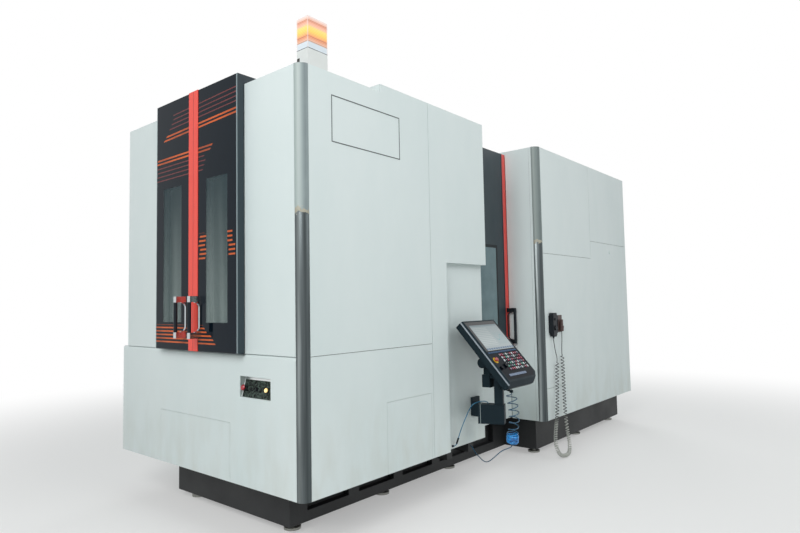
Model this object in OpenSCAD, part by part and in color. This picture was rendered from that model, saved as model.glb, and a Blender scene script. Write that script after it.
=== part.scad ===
// Horizontal machining centre with a two-pallet changer, millimetres.
// Every piece is first placed from the sharp near front corner of the covers:
// +X is the operator's side, +Y runs to the back, the floor is z = 0.
// place() then moves the whole machine so that its footprint's middle is the origin.

/* [Overall] */
// Length from the front covers to the back face
machine_l = 5950; // [5750:10:6300]
// Width of the lower front box, from the left cover to the operator's side
lower_w = 2530; // [2500:5:2600]
// Width of the upper front box
upper_w = 2446; // [2430:2:2460]
// Depth of the front box, which holds the set-up station and the pallet changer
box_l = 2315; // [2300:5:2330]
// Height of the covers' lower edge above the floor
skirt_z = 387; // [370:1:400]
// Top of the lower front box, which is the door sill
sill_z = 1338; // [1320:1:1350]
// Top of the low roof over the set-up station
roof_low_z = 3350; // [3330:5:3400]
// Step from the low roof up to the raised roof
roof_step = 65; // [40:1:90]
// Depth at which the raised roof starts
roof_step_y = 820; // [780:5:860]
// Thickness of the folded cover panels
panel_t = 40; // [30:1:45]
// Width of the seam between two panels
seam_w = 4; // [2:0.5:6]
// Depth of the seam
seam_d = 10; // [6:1:14]

/* [Corner pillars] */
// Size and outer radius of the stainless front pillar
pillar_a = 68; // [60:1:80]
// Wall of both pillars
pillar_wall = 14; // [12:1:16]
// Size and outer radius of the stainless rear pillar
rear_pillar_a = 70; // [60:1:80]

/* [Rear housing] */
// Distance of the rear housing's front face from the machine's front
rear_y = 3280; // [3270:1:3290]
// Distance that the rear housing stands out on the operator's side
rear_out = 90; // [80:1:100]
// Height of the rear roof
rear_roof_z = 3380; // [3370:1:3400]
// Top seam of the rear side's lower panels
rear_seam_z = 2200; // [2100:10:2300]
// Second, higher seam at the back
rear_seam_high_z = 2420; // [2350:10:2500]
// Top of the rear side's low front panel
rear_low_seam_z = 725; // [700:5:750]
// Length of the rear side's low front panel
rear_low_seam_l = 420; // [400:5:440]
// Vertical seam of the rear side
rear_seam_y = 4680; // [4600:10:4750]

/* [Front box details] */
// Front access panel: distance of its right edge from the corner, width and height
access_x = 825; // [800:1:850]
// Width of the front access panel
access_w = 1014; // [950:1:1050]
// Height of the front access panel
access_h = 436; // [400:1:460]
// Control recess: distance of its right edge from the corner
recess_x = 340; // [320:1:360]
// Width of the control recess
recess_w = 360; // [340:1:380]
// Lower edge of the control recess
recess_z = 1025; // [1000:1:1040]
// Height of the control recess
recess_h = 152; // [140:1:160]
// Slant of the control plate in its recess, degrees
recess_tilt = 15; // [10:1:20]
// Vertical seam of the operator's side
side_seam_y = 1430; // [1420:1:1440]
// Side access panel: its near edge
side_access_y = 835; // [800:1:850]
// Length of the side access panel
side_access_l = 565; // [540:1:580]
// Height of the side access panel
side_access_h = 543; // [500:1:560]
// Near edge of the alcove behind the console
alcove_y = 1660; // [1640:1:1680]
// Top of the alcove
alcove_z = 2035; // [2000:1:2060]
// Depth of the alcove
alcove_d = 60; // [55:1:65]

/* [Set-up station doors] */
// Distance of the doors' meeting line from the corner
door_mid = 1216; // [1210:1:1222]
// Width of one door leaf
leaf_w = 586; // [570:1:600]
// Distance that the doors stand out of the front
door_proud = 70; // [60:1:80]
// Thickness of a door's frame
door_t = 54; // [46:1:58]
// Thickness of the glass
glass_t = 6; // [4:1:10]
// Half width of the red centre strip
strip_half = 66; // [55:1:75]
// Distance that the strip stands out of the glass
strip_proud = 4; // [2:1:8]
// Distance of a window's inner edge from the meeting line
window_in = 178; // [165:1:190]
// Width of a window
window_w = 285; // [260:1:300]
// Lower edge of the windows
window_z = 1565; // [1540:1:1600]
// Height of the windows
window_h = 1115; // [1050:1:1150]
// Opening travel of one leaf
leaf_travel = 500; // [400:10:505]
// Running gap under the leaves' roofs
leaf_gap = 0.3; // [0.2:0.1:0.5]

/* [Door handles] */
// Reach of the handles in front of the glass
handle_reach = 110; // [100:1:120]
// Distance of a handle from the meeting line
handle_off = 100; // [90:1:110]
// Lower end of the handles
handle_z = 1444; // [1430:1:1460]
// Length of the handles
handle_l = 326; // [310:1:340]
// Radius of the grip
grip_r = 16; // [13:0.5:17]
// Height of a handle's end blocks
handle_cap = 46; // [40:1:50]
// Radius of the bow's corners
bow_r = 45; // [40:1:46]

/* [Machining area door] */
// Distance of the door's face behind the operator's side plane
side_door_in = 310; // [308:1:312]
// Thickness of the door
side_door_t = 60; // [50:1:62]
// Width of the door
side_door_w = 950; // [940:1:955]
// Opening travel
side_door_travel = 650; // [600:5:655]
// Height of the door's lower edge
side_door_z = 400; // [395:1:420]
// Height of the seam between the door's white apron and its dark part
side_apron_z = 1000; // [900:10:1100]
// Distance of the window's edge from the door's closing edge
side_window_in = 226; // [220:1:240]
// Width of the door's window
side_window_w = 560; // [500:5:600]
// Lower edge of the door's window
side_window_z = 1300; // [1250:5:1350]
// Upper edge of the door's window
side_window_top = 2285; // [2250:5:2300]
// Width of the red strip at the closing edge
side_strip_w = 76; // [60:1:80]

/* [Pallet changer] */
// Distance of the changer's axis from the front
changer_y = 1290; // [1285:1:1295]
// Distance of a pallet's middle from the axis
pallet_arm = 640; // [635:1:645]
// Side of a square pallet
pallet_a = 500; // [490:5:505]
// Thickness of a pallet
pallet_h = 100; // [80:1:120]
// Chamfer of a pallet's corners
pallet_chamfer = 60; // [50:1:70]
// Height of the table's seat for a pallet
seat_z = 1199.7; // [1190:0.1:1200]
// Lift of the changer
changer_lift = 90; // [88:1:100]
// Thickness of the fork
fork_t = 70; // [60:1:75]
// Gap between a fork's two tines
fork_gap = 340; // [336:1:350]
// Width of a tine
tine_w = 70; // [60:1:75]
// Spacing of the outer threaded holes in a pallet
pallet_pitch = 400; // [380:5:420]
// Tapping radius of the pallet's holes
pallet_hole_r = 7; // [6:0.5:8.5]
// Radius of the lifting ram
ram_r = 90; // [80:1:100]
// Radial running clearance of rams, spindle and tables
run_gap = 0.05; // [0.02:0.01:0.1]
// Half width of the turning partition
partition_half = 890; // [870:5:900]

/* [Table] */
// Height of the bed's top
bed_z = 600; // [590:1:610]
// Height of the guide rails
rail_h = 40; // [35:1:45]
// Half distance of the table's rails
table_rail = 330; // [310:1:350]
// Height of the saddle above the rails
saddle_h = 250; // [240:1:260]
// Radius of the table's head, which passes between the tines
head_r = 160; // [150:1:165]
// Travel of the table
table_travel = 800; // [700:10:800]

/* [Column and spindle] */
// Front face of the column
column_y = 3560; // [3550:1:3580]
// Depth of the column
column_d = 900; // [850:5:950]
// Width of the column
column_w = 960; // [940:5:980]
// Width of the slot in which the head runs
column_slot = 480; // [470:1:490]
// Top of the column
column_top = 3100; // [3050:5:3150]
// Height of the spindle's axis at rest
spindle_z = 1850; // [1840:5:1860]
// Travel of the column to each side
column_travel = 400; // [350:10:420]
// Travel of the head up and down
head_travel = 400; // [350:10:400]
// Radius of the spindle
spindle_r = 65; // [60:1:70]
// Nose of the spindle
spindle_y = 3290; // [3286:1:3300]

/* [Console] */
// Outermost point of the console from the operator's side plane
console_tip_x = 523; // [518:1:530]
// Middle of the console along the machine
console_y = 2042; // [2036:1:2048]
// Height of the console's middle
console_z = 1262; // [1255:1:1270]
// Width of the console
console_w = 544; // [530:2:556]
// Height of the console's face
console_h = 676; // [660:2:684]
// Thickness of the console
console_t = 80; // [70:1:84]
// Length of the console's upright chin
console_chin = 52; // [44:1:56]
// Backward tilt of the console, degrees
console_tilt = 42.4; // [41:0.2:44]
// Side of the square post
post_a = 76; // [70:1:84]
// Middle of the post from the operator's side plane
post_x = 264; // [260:1:268]
// Middle of the post along the machine
post_y = 2050; // [2045:1:2055]
// Height of the arm's top
arm_top = 770; // [762:1:778]
// Height of the arm
arm_h = 170; // [160:1:176]
// Length of the arm to the post's middle
arm_l = 186; // [180:1:192]
// Width of the arm
arm_w = 96; // [90:1:100]
// Turn of the arm from the wall's normal, degrees
arm_turn = 22; // [18:1:26]

/* [Beacon] */
// Side of the beacon along the front
beacon_w = 115; // [105:1:120]
// Side of the beacon along the side
beacon_l = 185; // [175:1:195]
// Height of the beacon's base
beacon_base_h = 115; // [105:1:125]
// Height of the beacon's lens
beacon_lens_h = 230; // [210:1:250]

/* [Handset] */
// Near edge of the handset along the machine
handset_y = 3440; // [3430:5:3450]
// Lower end of the handset
handset_z = 1285; // [1270:5:1300]
// Length of the handset
handset_l = 260; // [240:5:280]

/* [Hidden] */
$fn = 48;
eps = 1;
white = [0.86, 0.89, 0.89];
dark = [0.16, 0.19, 0.21];
black = [0.06, 0.06, 0.07];
red = [0.85, 0.25, 0.2];
steel = [0.6, 0.6, 0.58];
iron = [0.3, 0.32, 0.33];
hose_blue = [0.05, 0.4, 0.6];
mid_x = (console_tip_x - lower_w) / 2;
switch_out = 40;
mid_y = (machine_l + switch_out - door_proud - handle_reach) / 2;
roof_high_z = roof_low_z + roof_step;
rear_x = rear_out;
left_x = -lower_w;
upper_x = -upper_w;
door_x = -door_mid;
back_y = machine_l - panel_t;
pallet_z = seat_z + 0.3 + changer_lift;
fork_z = pallet_z - fork_t;
changer_x = door_x;
table_y = changer_y + pallet_arm;
saddle_z = bed_z + rail_h;
console_x = console_tip_x - console_h / 2 * sin(console_tilt);
post_top = console_z - 262;
foot_end = 270;
left_seam_step = 870;
latch_y = rear_seam_y + 650;
frame_y = 285;
frame_z = 2845;
side_door_y = rear_y - 4;
rear_bed_y = 3350;
bed_half = 766;
bed_bottom = 65;

// Moves a piece from the corner frame to the machine's own frame
module place() {
    translate([-mid_x, -mid_y, 0]) children();
}

// A box given by its two ends on each axis
module slab(x0, x1, y0, y1, z0, z1) {
    translate([x0, y0, z0]) cube([x1 - x0, y1 - y0, z1 - z0]);
}

// A folded panel that faces the front: its outer skin leaves half a seam free all round
module front_panel(x0, x1, z0, z1, y0 = 0) {
    s = seam_w / 2;
    slab(x0 + s, x1 - s, y0, y0 + seam_d + eps, z0 + s, z1 - s);
    slab(x0, x1, y0 + seam_d, y0 + panel_t, z0, z1);
}

// The same for a panel that faces the operator's side
module side_panel(y0, y1, z0, z1, x1 = 0) {
    s = seam_w / 2;
    slab(x1 - seam_d - eps, x1, y0 + s, y1 - s, z0 + s, z1 - s);
    slab(x1 - panel_t, x1 - seam_d, y0, y1, z0, z1);
}

// Quarter-round corner pillar of folded stainless sheet
module pillar(a, z0, z1) {
    translate([0, 0, z0]) linear_extrude(z1 - z0) intersection() {
        difference() {
            circle(a, $fn = 96);
            circle(a - pillar_wall, $fn = 96);
        }
        translate([0, -a]) square(a);
    }
}

// T-shaped cast bed with guide rails, ribbed sides and arms that carry the covers
module bed_casting() color(iron) place() {
    x0 = changer_x - bed_half;
    x1 = changer_x + bed_half;
    difference() {
        union() {
            slab(x0, x1, 250, rear_bed_y + eps, bed_bottom, bed_z);
            slab(left_x + 150, -60, rear_bed_y, machine_l - 150, bed_bottom, bed_z);
        }
        for (y = [420 : 560 : 2700]) {
            slab(x1 - 60, x1 + eps, y, y + 440, bed_bottom + 80, bed_z - 90);
            slab(x0 - eps, x0 + 60, y, y + 440, bed_bottom + 80, bed_z - 90);
        }
        translate([changer_x, changer_y, bed_z - 360]) cylinder(r = ram_r + run_gap, h = 360 + eps);
    }
    difference() {
        slab(left_x + 150, magazine_x - 20, magazine_y - 110, magazine_y + 110, bed_z - eps, magazine_z + 110);
        translate([left_x, magazine_y, magazine_z]) rotate([0, 90, 0]) cylinder(r = 60 + run_gap, h = 400);
    }
    difference() {
        slab(tool_arm_x - 70, tool_arm_x + 60, column_y - 90, column_y - 10, bed_z - eps, spindle_z + 90);
        translate([tool_arm_x, column_y - 100, spindle_z]) rotate([-90, 0, 0]) cylinder(r = 50 + run_gap, h = 120);
    }
    for (sx = [-1, 1]) slab(changer_x + sx * table_rail - 22, changer_x + sx * table_rail + 22,
        1500, rear_bed_y, bed_z - eps, saddle_z);
    for (y = [column_y + 130, column_y + 620]) slab(left_x + 250, -250, y - 25, y + 25,
        bed_z - eps, saddle_z);
    for (y = [300, 1180, 1740, 2080]) {
        low = y > side_seam_y;
        edge = low ? -panel_t - alcove_d : -panel_t;
        slab(x1 - eps, edge, y, y + 80, low ? side_door_z - 110 : skirt_z + 10, low ? side_door_z - 10 : skirt_z + 90);
        if (low) slab(-side_door_in + 12, edge, y, y + 80, side_door_z - 110, skirt_z + 90);
        slab(left_x + panel_t, x0 + eps, y, y + 80, skirt_z + 10, skirt_z + 90);
    }
    for (x = [-500, -2000]) slab(x, x + 80, panel_t, 250 + eps, skirt_z + 10, skirt_z + 90);
    for (y = [3600, 5300]) {
        slab(-60 - eps, rear_x - panel_t, y, y + 80, skirt_z + 10, skirt_z + 90);
        slab(left_x + panel_t, left_x + 150 + eps, y, y + 80, skirt_z + 10, skirt_z + 90);
    }
    for (x = [-700, -1900]) slab(x, x + 80, machine_l - 150 - eps, back_y, skirt_z + 10, skirt_z + 90);
}

// One levelling foot: round pad, stud and lock nut
module foot() {
    cylinder(r = 65, h = 18);
    cylinder(r = 22, h = bed_bottom);
    translate([0, 0, 34]) cylinder(r = 36, h = 18, $fn = 6);
}

module levelling_feet() color(steel) place() {
    for (x = [changer_x - 640, changer_x + 640], y = [380, 1400, 2420]) translate([x, y, 0]) foot();
    for (x = [left_x + 260, changer_x, -170], y = [rear_bed_y + 150, (rear_bed_y + machine_l) / 2 - 50, machine_l - foot_end])
        translate([x, y, 0]) foot();
}

// Lower front cover with a rounded sill, cut for the access panel and the control recess
module front_lower_cover() color(white) place() {
    sill_r = 20;
    difference() {
        union() {
            front_panel(left_x, -pillar_a, skirt_z, sill_z - sill_r);
            slab(left_x, -pillar_a, sill_r, panel_t, sill_z - sill_r - eps, sill_z);
            slab(left_x, -pillar_a, seam_d, sill_r + eps, sill_z - sill_r - eps, sill_z - sill_r + eps);
            translate([left_x, sill_r, sill_z - sill_r]) rotate([90, 0, 90])
                linear_extrude(lower_w - pillar_a) intersection() {
                    circle(sill_r);
                    translate([-sill_r, 0]) square(sill_r);
                }
            slab(left_x, -pillar_a, 0, seam_d + eps, sill_z - sill_r - seam_w, sill_z - sill_r + 0.1);
        }
        slab(-access_x - access_w, -access_x, -eps, panel_t + eps, skirt_z - eps, skirt_z + access_h);
        slab(-recess_x - recess_w, -recess_x, -eps, panel_t + eps, recess_z, recess_z + recess_h);
    }
}

module front_access_panel() color(white) place()
    front_panel(-access_x - access_w, -access_x, skirt_z, skirt_z + access_h);

// Moves children to the slanted control plate: x across, y up the plate, z out of it
module on_recess() {
    translate([-recess_x - recess_w / 2, 34, recess_z + recess_h / 2])
        rotate([90 - recess_tilt, 0, 0]) children();
}

// Tray of the control recess with its slanted plate
module control_recess_panel() color(dark) place() {
    x0 = -recess_x - recess_w;
    depth = 110;
    difference() {
        slab(x0, -recess_x, 3, depth, recess_z, recess_z + recess_h);
        on_recess() translate([-recess_w / 2 + 4, -recess_h, 0]) cube([recess_w - 8, 2 * recess_h, 200]);
        slab(x0 + 4, -recess_x - 4, 60, depth + eps, recess_z + 4, recess_z + recess_h - 4);
        for (x = [recess_btn_1, recess_btn_2, recess_btn_3]) on_recess()
            translate([x, recess_v, -60]) cylinder(r = recess_bore_r, h = 61);
    }
    on_recess() for (x = recess_plain) translate([x, recess_v, -eps]) cylinder(r = 11, h = 9 + eps);
    on_recess() for (x = recess_small) translate([x, recess_v + 36, -eps]) cylinder(r = 7, h = 5 + eps);
    for (c = [[recess_btn_1, 22, 18], [recess_btn_2, 17, 11]]) on_recess() translate([c[0], recess_v, -eps])
        difference() {
            cylinder(r = c[1], h = c[2] + eps);
            translate([0, 0, -eps]) cylinder(r = recess_bore_r, h = c[2] + 3 * eps);
        }
}
recess_btn_1 = -142;
recess_btn_2 = 112;
recess_btn_3 = -12;
recess_v = -15;
recess_plain = [-86, -52, 32, 66];
recess_small = [-90, -55, -20, 15, 50, 85, 120];
recess_bore_r = 11;

module panel_estop() color("red") place() on_recess() translate([recess_btn_1, recess_v, 0]) {
    translate([0, 0, -30]) cylinder(r = recess_bore_r - run_gap, h = 58);
    translate([0, 0, 24]) cylinder(r1 = 15, r2 = 21, h = 6);
    translate([0, 0, 30]) cylinder(r = 21, h = 5);
    translate([0, 0, 35]) cylinder(r1 = 21, r2 = 15, h = 6);
}

module panel_button() color("khaki") place() on_recess() translate([recess_btn_2, recess_v, 0]) {
    translate([0, 0, -30]) cylinder(r = recess_bore_r - run_gap, h = 48);
    translate([0, 0, 16]) cylinder(r = 15, h = 6);
    translate([0, 0, 22]) cylinder(r1 = 15, r2 = 11, h = 4);
}

module panel_selector() color(black) place() on_recess() translate([recess_btn_3, recess_v, 0]) {
    translate([0, 0, -30]) cylinder(r = recess_bore_r - run_gap, h = 31);
    translate([0, 0, 0.3]) cylinder(r = 14, h = 6);
    translate([-4, -14, 6]) cube([8, 28, 9]);
}

module front_left_panel() color(white) place()
    front_panel(upper_x, door_x - leaf_w + 12, sill_z, roof_low_z);

module front_right_panel() color(white) place()
    front_panel(door_x + leaf_w - 12, -pillar_a, sill_z, roof_low_z);

module front_corner_pillar() color(steel) place()
    translate([-pillar_a, pillar_a, 0]) pillar(pillar_a, skirt_z, roof_low_z);

// Upper side panel: it follows the step of the roof and frames a bare raised plate
module side_upper_panel() color(white) place() {
    difference() {
        side_panel(pillar_a, side_seam_y, sill_z, roof_high_z);
        slab(-panel_t - eps, eps, pillar_a - eps, roof_step_y, roof_low_z, roof_high_z + eps);
    }
    difference() {
        slab(-eps, 1.5, frame_y, frame_y + 758, frame_z, frame_z + 345);
        slab(0, 2.5, frame_y + 8, frame_y + 750, frame_z + 8, frame_z + 337);
    }
}

module side_lower_panel() color(white) place() difference() {
    side_panel(pillar_a, side_seam_y, skirt_z, sill_z);
    slab(-panel_t - eps, eps, side_access_y, side_access_y + side_access_l,
        skirt_z - eps, skirt_z + side_access_h);
}

module side_access_panel() color(white) place()
    side_panel(side_access_y, side_access_y + side_access_l, skirt_z, skirt_z + side_access_h);

// Rear part of the front box's side, with the alcove for the console and the return to the door
module side_overhang_cover() color(white) place() {
    back_t = panel_t + alcove_d;
    difference() {
        union() {
            side_panel(side_seam_y, box_l, skirt_z, roof_high_z);
            slab(-back_t, -seam_d, alcove_y - panel_t, box_l, skirt_z, alcove_z + panel_t);
            slab(-side_door_in + 10, -seam_d, box_l - panel_t, box_l, skirt_z, roof_low_z);
        }
        slab(-alcove_d, eps, alcove_y, box_l + eps, skirt_z - eps, alcove_z);
    }
}

// Left cover: lower box, ledge, upper box and the deeper rear housing in one row of panels
module left_cover() color(white) place() {
    slab(left_x, left_x + panel_t, panel_t, rear_y, skirt_z, sill_z);
    slab(left_x, upper_x + panel_t, panel_t, rear_y, sill_z - panel_t, sill_z);
    slab(upper_x, upper_x + panel_t, panel_t, rear_y, sill_z - eps, roof_low_z);
    slab(left_x, upper_x + panel_t, rear_y, rear_y + panel_t, sill_z - panel_t, roof_low_z - panel_t);
    difference() {
        slab(left_x, left_x + panel_t, rear_y - eps, back_y, skirt_z, rear_roof_z - panel_t);
        for (y = [rear_y + left_seam_step, rear_y + 2 * left_seam_step]) slab(left_x - eps, left_x + seam_d, y, y + seam_w, skirt_z - eps, rear_roof_z);
        slab(left_x - eps, left_x + seam_d, rear_y + panel_t, back_y + eps, rear_seam_z, rear_seam_z + seam_w);
    }
}

// Roof of the front box: low strips beside the doors' opening, then the raised roof
module station_roof() color(white) place() {
    slab(upper_x + panel_t, door_x - leaf_w + 12, panel_t, roof_step_y + eps, roof_low_z - panel_t, roof_low_z);
    slab(door_x + leaf_w - 12, -panel_t, panel_t, roof_step_y + eps, roof_low_z - panel_t, roof_low_z);
    slab(upper_x, -panel_t, roof_step_y, roof_step_y + panel_t, roof_low_z, roof_high_z);
    slab(upper_x + panel_t, -panel_t, roof_step_y, roof_step_y + panel_t, roof_low_z - panel_t, roof_low_z + eps);
    slab(upper_x, -panel_t, roof_step_y, box_l, roof_high_z - panel_t, roof_high_z);
    slab(upper_x, upper_x + panel_t, roof_step_y, box_l, roof_low_z, roof_high_z);
    slab(upper_x, -panel_t, box_l - panel_t, box_l, roof_low_z, roof_high_z);
}

// Beacon base with a notch that lets the right door pass
module beacon_base() color(white) place() difference() {
    slab(-beacon_w, 0, pillar_a + 2, pillar_a + 2 + beacon_l, roof_low_z, roof_low_z + beacon_base_h);
    slab(-beacon_w - eps, -beacon_w + 30, pillar_a, pillar_a + 40, roof_low_z - eps, roof_low_z + 34);
}

module beacon_lens() color([1, 0.7, 0.3, 0.6]) place() {
    z0 = roof_low_z + beacon_base_h;
    y0 = pillar_a + 2;
    difference() {
        slab(-beacon_w, 0, y0, y0 + beacon_l, z0, z0 + beacon_lens_h);
        slab(-beacon_w + 4, -4, y0 + 4, y0 + beacon_l - 4, z0 - eps, z0 + beacon_lens_h - 4);
    }
}

// Fixed portal between the set-up station and the machining area
module partition_frame() color(steel) place() {
    inner = partition_half + 30;
    for (sx = [-1, 1]) {
        edge = sx < 0 ? upper_x + panel_t : -panel_t;
        a = changer_x + sx * inner;
        slab(min(a, edge), max(a, edge), changer_y - 40, changer_y + 40, sill_z - 100, 2560);
    }
    slab(upper_x + panel_t, -panel_t, changer_y - 40, changer_y + 40, 2550, roof_high_z - panel_t);
}

module rear_front_panel() color(white) place()
    front_panel(-side_door_in + 5, rear_x - rear_pillar_a, skirt_z, rear_roof_z, rear_y);

module rear_corner_pillar() color(steel) place()
    translate([rear_x - rear_pillar_a, rear_y + rear_pillar_a, 0]) pillar(rear_pillar_a, skirt_z, rear_roof_z);

// Right cover of the rear housing, with its seams and a latch
module rear_right_cover() color(white) place() {
    y0 = rear_y + rear_pillar_a;
    difference() {
        side_panel(y0, back_y, skirt_z, rear_roof_z, rear_x);
        slab(rear_x - seam_d, rear_x + eps, rear_seam_y, rear_seam_y + seam_w, rear_seam_z, rear_roof_z + eps);
        slab(rear_x - seam_d, rear_x + eps, y0 - eps, rear_seam_y, rear_seam_z, rear_seam_z + seam_w);
        slab(rear_x - seam_d, rear_x + eps, rear_seam_y, back_y + eps, rear_seam_high_z, rear_seam_high_z + seam_w);
        slab(rear_x - seam_d, rear_x + eps, y0 - eps, y0 + rear_low_seam_l,
            rear_low_seam_z, rear_low_seam_z + seam_w);
        slab(rear_x - seam_d, rear_x + eps, y0 + rear_low_seam_l, y0 + rear_low_seam_l + seam_w,
            skirt_z - eps, rear_low_seam_z + seam_w);
    }
    translate([rear_x - eps, latch_y, 2310]) rotate([0, 90, 0]) cylinder(r = 22, h = 9);
}

// Roof over the machining area and the rear housing, with the side door's top rail
module rear_roof() color(white) place() {
    door_back = -side_door_in - side_door_t;
    slab(upper_x + panel_t, door_back - 8, box_l, rear_y + eps, roof_low_z - panel_t, roof_low_z);
    slab(left_x, rear_x - panel_t, rear_y + panel_t, back_y, rear_roof_z - panel_t, rear_roof_z);
    slab(left_x, -side_door_in + 5, rear_y, rear_y + panel_t + eps, rear_roof_z - panel_t, rear_roof_z);
    slab(left_x + panel_t, -side_door_in + 5, rear_y, rear_y + panel_t, roof_low_z - panel_t, rear_roof_z - eps);
    slab(door_back - 70, door_back - 35, rail_y, rear_y + eps, rail_top - 60, roof_low_z - panel_t + eps);
    slab(door_back - 36, door_back - 15, rail_y, rear_y, rail_top - 60, rail_top);
}
rail_top = roof_low_z - 60;
rail_y = box_l - side_door_travel - 5;

// Back cover with the electrical cabinet's recess
module rear_back_cover() color(white) place() {
    difference() {
        slab(left_x, rear_x, back_y, machine_l - 4, skirt_z, rear_roof_z);
        slab(cabinet_x, cabinet_x + cabinet_w, back_y - eps, machine_l, cabinet_z, cabinet_z + cabinet_h);
    }
    difference() {
        slab(cabinet_x - 6, cabinet_x + cabinet_w + 6, back_y - cabinet_d, back_y + eps,
            cabinet_z - 6, cabinet_z + cabinet_h + 6);
        slab(cabinet_x, cabinet_x + cabinet_w, back_y - cabinet_d + 6, machine_l,
            cabinet_z, cabinet_z + cabinet_h);
    }
    for (z = hinge_z) {
        hinge_barrel(z - 41, 40);
        hinge_barrel(z + 41.3, 40);
        for (z0 = [z - 41, z + 41.3]) slab(cabinet_x - 40, hinge_x, machine_l - 5, hinge_y, z0, z0 + 40);
    }
    for (row = [0 : 2], col = [0 : 4]) {
        x = cabinet_x + 110 + col * 170;
        z = cabinet_z + 260 + row * 600;
        slab(x, x + 120, back_y - cabinet_d + 5, back_y - 150, z, z + 340);
    }
}
cabinet_x = -1150;
cabinet_w = 1000;
cabinet_z = 620;
cabinet_h = 2200;
cabinet_d = 380;
hinge_x = cabinet_x - 2;
hinge_y = machine_l + 8;
hinge_z = [cabinet_z + 250, cabinet_z + cabinet_h / 2, cabinet_z + cabinet_h - 250];

// One barrel of a cabinet hinge
module hinge_barrel(z, h) {
    translate([hinge_x, hinge_y, z]) cylinder(r = 8, h = h);
}

// Cabinet door, hinged on its right edge as seen from behind
module cabinet_door() color(white) place() {
    difference() {
        slab(cabinet_x + 0.3, cabinet_x + cabinet_w - 2, machine_l - 30, machine_l,
            cabinet_z + 2, cabinet_z + cabinet_h - 2);
        translate([switch_x, machine_l - 40, switch_z]) rotate([-90, 0, 0]) cylinder(r = 20 + run_gap, h = 60);
    }
    for (z = hinge_z) {
        hinge_barrel(z - 0.7, 41.7);
        slab(hinge_x, cabinet_x + 40, machine_l - eps, hinge_y, z - 0.7, z + 41);
    }
}
switch_x = cabinet_x + cabinet_w - 130;
switch_z = 1700;

// Round main switch with a raised grip bar
module main_switch() color("red") place() translate([switch_x, machine_l, switch_z]) rotate([-90, 0, 0]) {
    translate([0, 0, -50]) cylinder(r = 20, h = 51);
    translate([0, 0, 0.3]) cylinder(r = 34, h = 18);
    translate([-9, -32, 18]) cube([18, 64, switch_out - 18]);
}

// Wall bracket that the handset stands in
module handset_holder() color(dark) place() {
    slab(rear_x, rear_x + 6, handset_y - 6, handset_y + 320, handset_z + 40, handset_z + 230);
    slab(rear_x, rear_x + 62, handset_y - 6, handset_y - 1, handset_z + 40, handset_z + 120);
    slab(rear_x, rear_x + 62, handset_y + 91, handset_y + 96, handset_z + 40, handset_z + 120);
    slab(rear_x + 57, rear_x + 62, handset_y - 6, handset_y + 96, handset_z + 40, handset_z + 66);
    translate([rear_x + 28, handset_y + 260, handset_z + 50]) cylinder(r1 = 22, r2 = 26, h = 60);
    translate([rear_x + 28, handset_y + 260, handset_z + 110]) cylinder(r = 18, h = 70);
    slab(rear_x, rear_x + 30, handset_y + 250, handset_y + 270, handset_z + 90, handset_z + 150);
}

// Hand control: tapered body with a knob
module handset() color(black) place() {
    translate([rear_x + 6.3, handset_y, handset_z]) {
        translate([0, 45, 0]) rotate([0, -90, 180]) linear_extrude(50) polygon([
            [26, -44.5], [handset_l - 12, -44.5], [handset_l, -32], [handset_l, 32],
            [handset_l - 12, 44.5], [26, 44.5], [0, 22], [0, -22]]);
        translate([49, 45, 96]) rotate([0, 90, 0]) cylinder(r = 27, h = 16);
        translate([49, 45, 190]) rotate([0, 90, 0]) cylinder(r = 14, h = 10);
    }
    translate([rear_x + 30, handset_y + 45, handset_z - 20]) cylinder(r1 = 7, r2 = 11, h = 21);
}

// Box arm with its bracket on the wall, the square post, and the outrigger that the spiral hose hangs from
module console_arm() color(dark) place() {
    x0 = -alcove_d;
    half = arm_w / 2;
    slab(x0, x0 + 24, post_y + 30, post_y + 150, arm_top - arm_h + 28, arm_top + 27);
    slab(x0 + 23, post_x - 30, post_y + 28, post_y + 92, arm_top - arm_h + 28, arm_top - 20);
    difference() {
        union() {
            translate([post_x, post_y, 0]) rotate([0, 0, arm_turn]) {
                slab(-arm_l, half, -half, half, arm_top - arm_h, arm_top);
                slab(-post_a / 2, post_a / 2, -post_a / 2, post_a / 2, arm_top - eps, post_top);
            }
            hull() {
                translate([post_x + 20, post_y - 15, hose_z - 12]) cylinder(r = 12, h = 12, $fn = 24);
                translate([hose_x, hose_y, hose_z - 12]) cylinder(r = 12, h = 12, $fn = 24);
            }
        }
        translate([post_x, post_y, post_top - 80]) cylinder(r = yoke_r + run_gap, h = 80 + eps);
    }
    translate([hose_x, hose_y, hose_z - 20]) cylinder(r = 16, h = 20);
}
yoke_r = 28;
hose_x = 462;
hose_y = 1920;
hose_z = 925;

// Yoke on the post's top: it swivels and holds the console's tilt pivot between two cheeks
module console_yoke() color(dark) place() {
    translate([post_x, post_y, post_top - 78]) cylinder(r = yoke_r, h = 79);
    slab(pivot_x - 30, post_x + 40, post_y - 60, post_y + 60, post_top + 0.3, post_top + 30);
    slab(pivot_x - 45, pivot_x + 34, post_y - 64, post_y + 50, post_top - 82, post_top + 30);
    for (sy = [-1, 1]) {
        slab(pivot_x - 30, pivot_x + 40, post_y + sy * 48 - 12, post_y + sy * 48 + 12, post_top + 29, pivot_z);
        translate([pivot_x, post_y + sy * 48 - 12, pivot_z]) rotate([-90, 0, 0]) cylinder(r = 40, h = 24);
    }
    translate([pivot_x, post_y - 125, pivot_z]) rotate([-90, 0, 0]) cylinder(r = pivot_r, h = 250);
    for (y = [post_y - 132, post_y + 92]) translate([pivot_x, y, pivot_z]) rotate([-90, 0, 0])
        cylinder(r = knob_r, h = 40);
}
pivot_x = 175;
pivot_z = 1140;
pivot_r = 20;
knob_r = 46;

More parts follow.
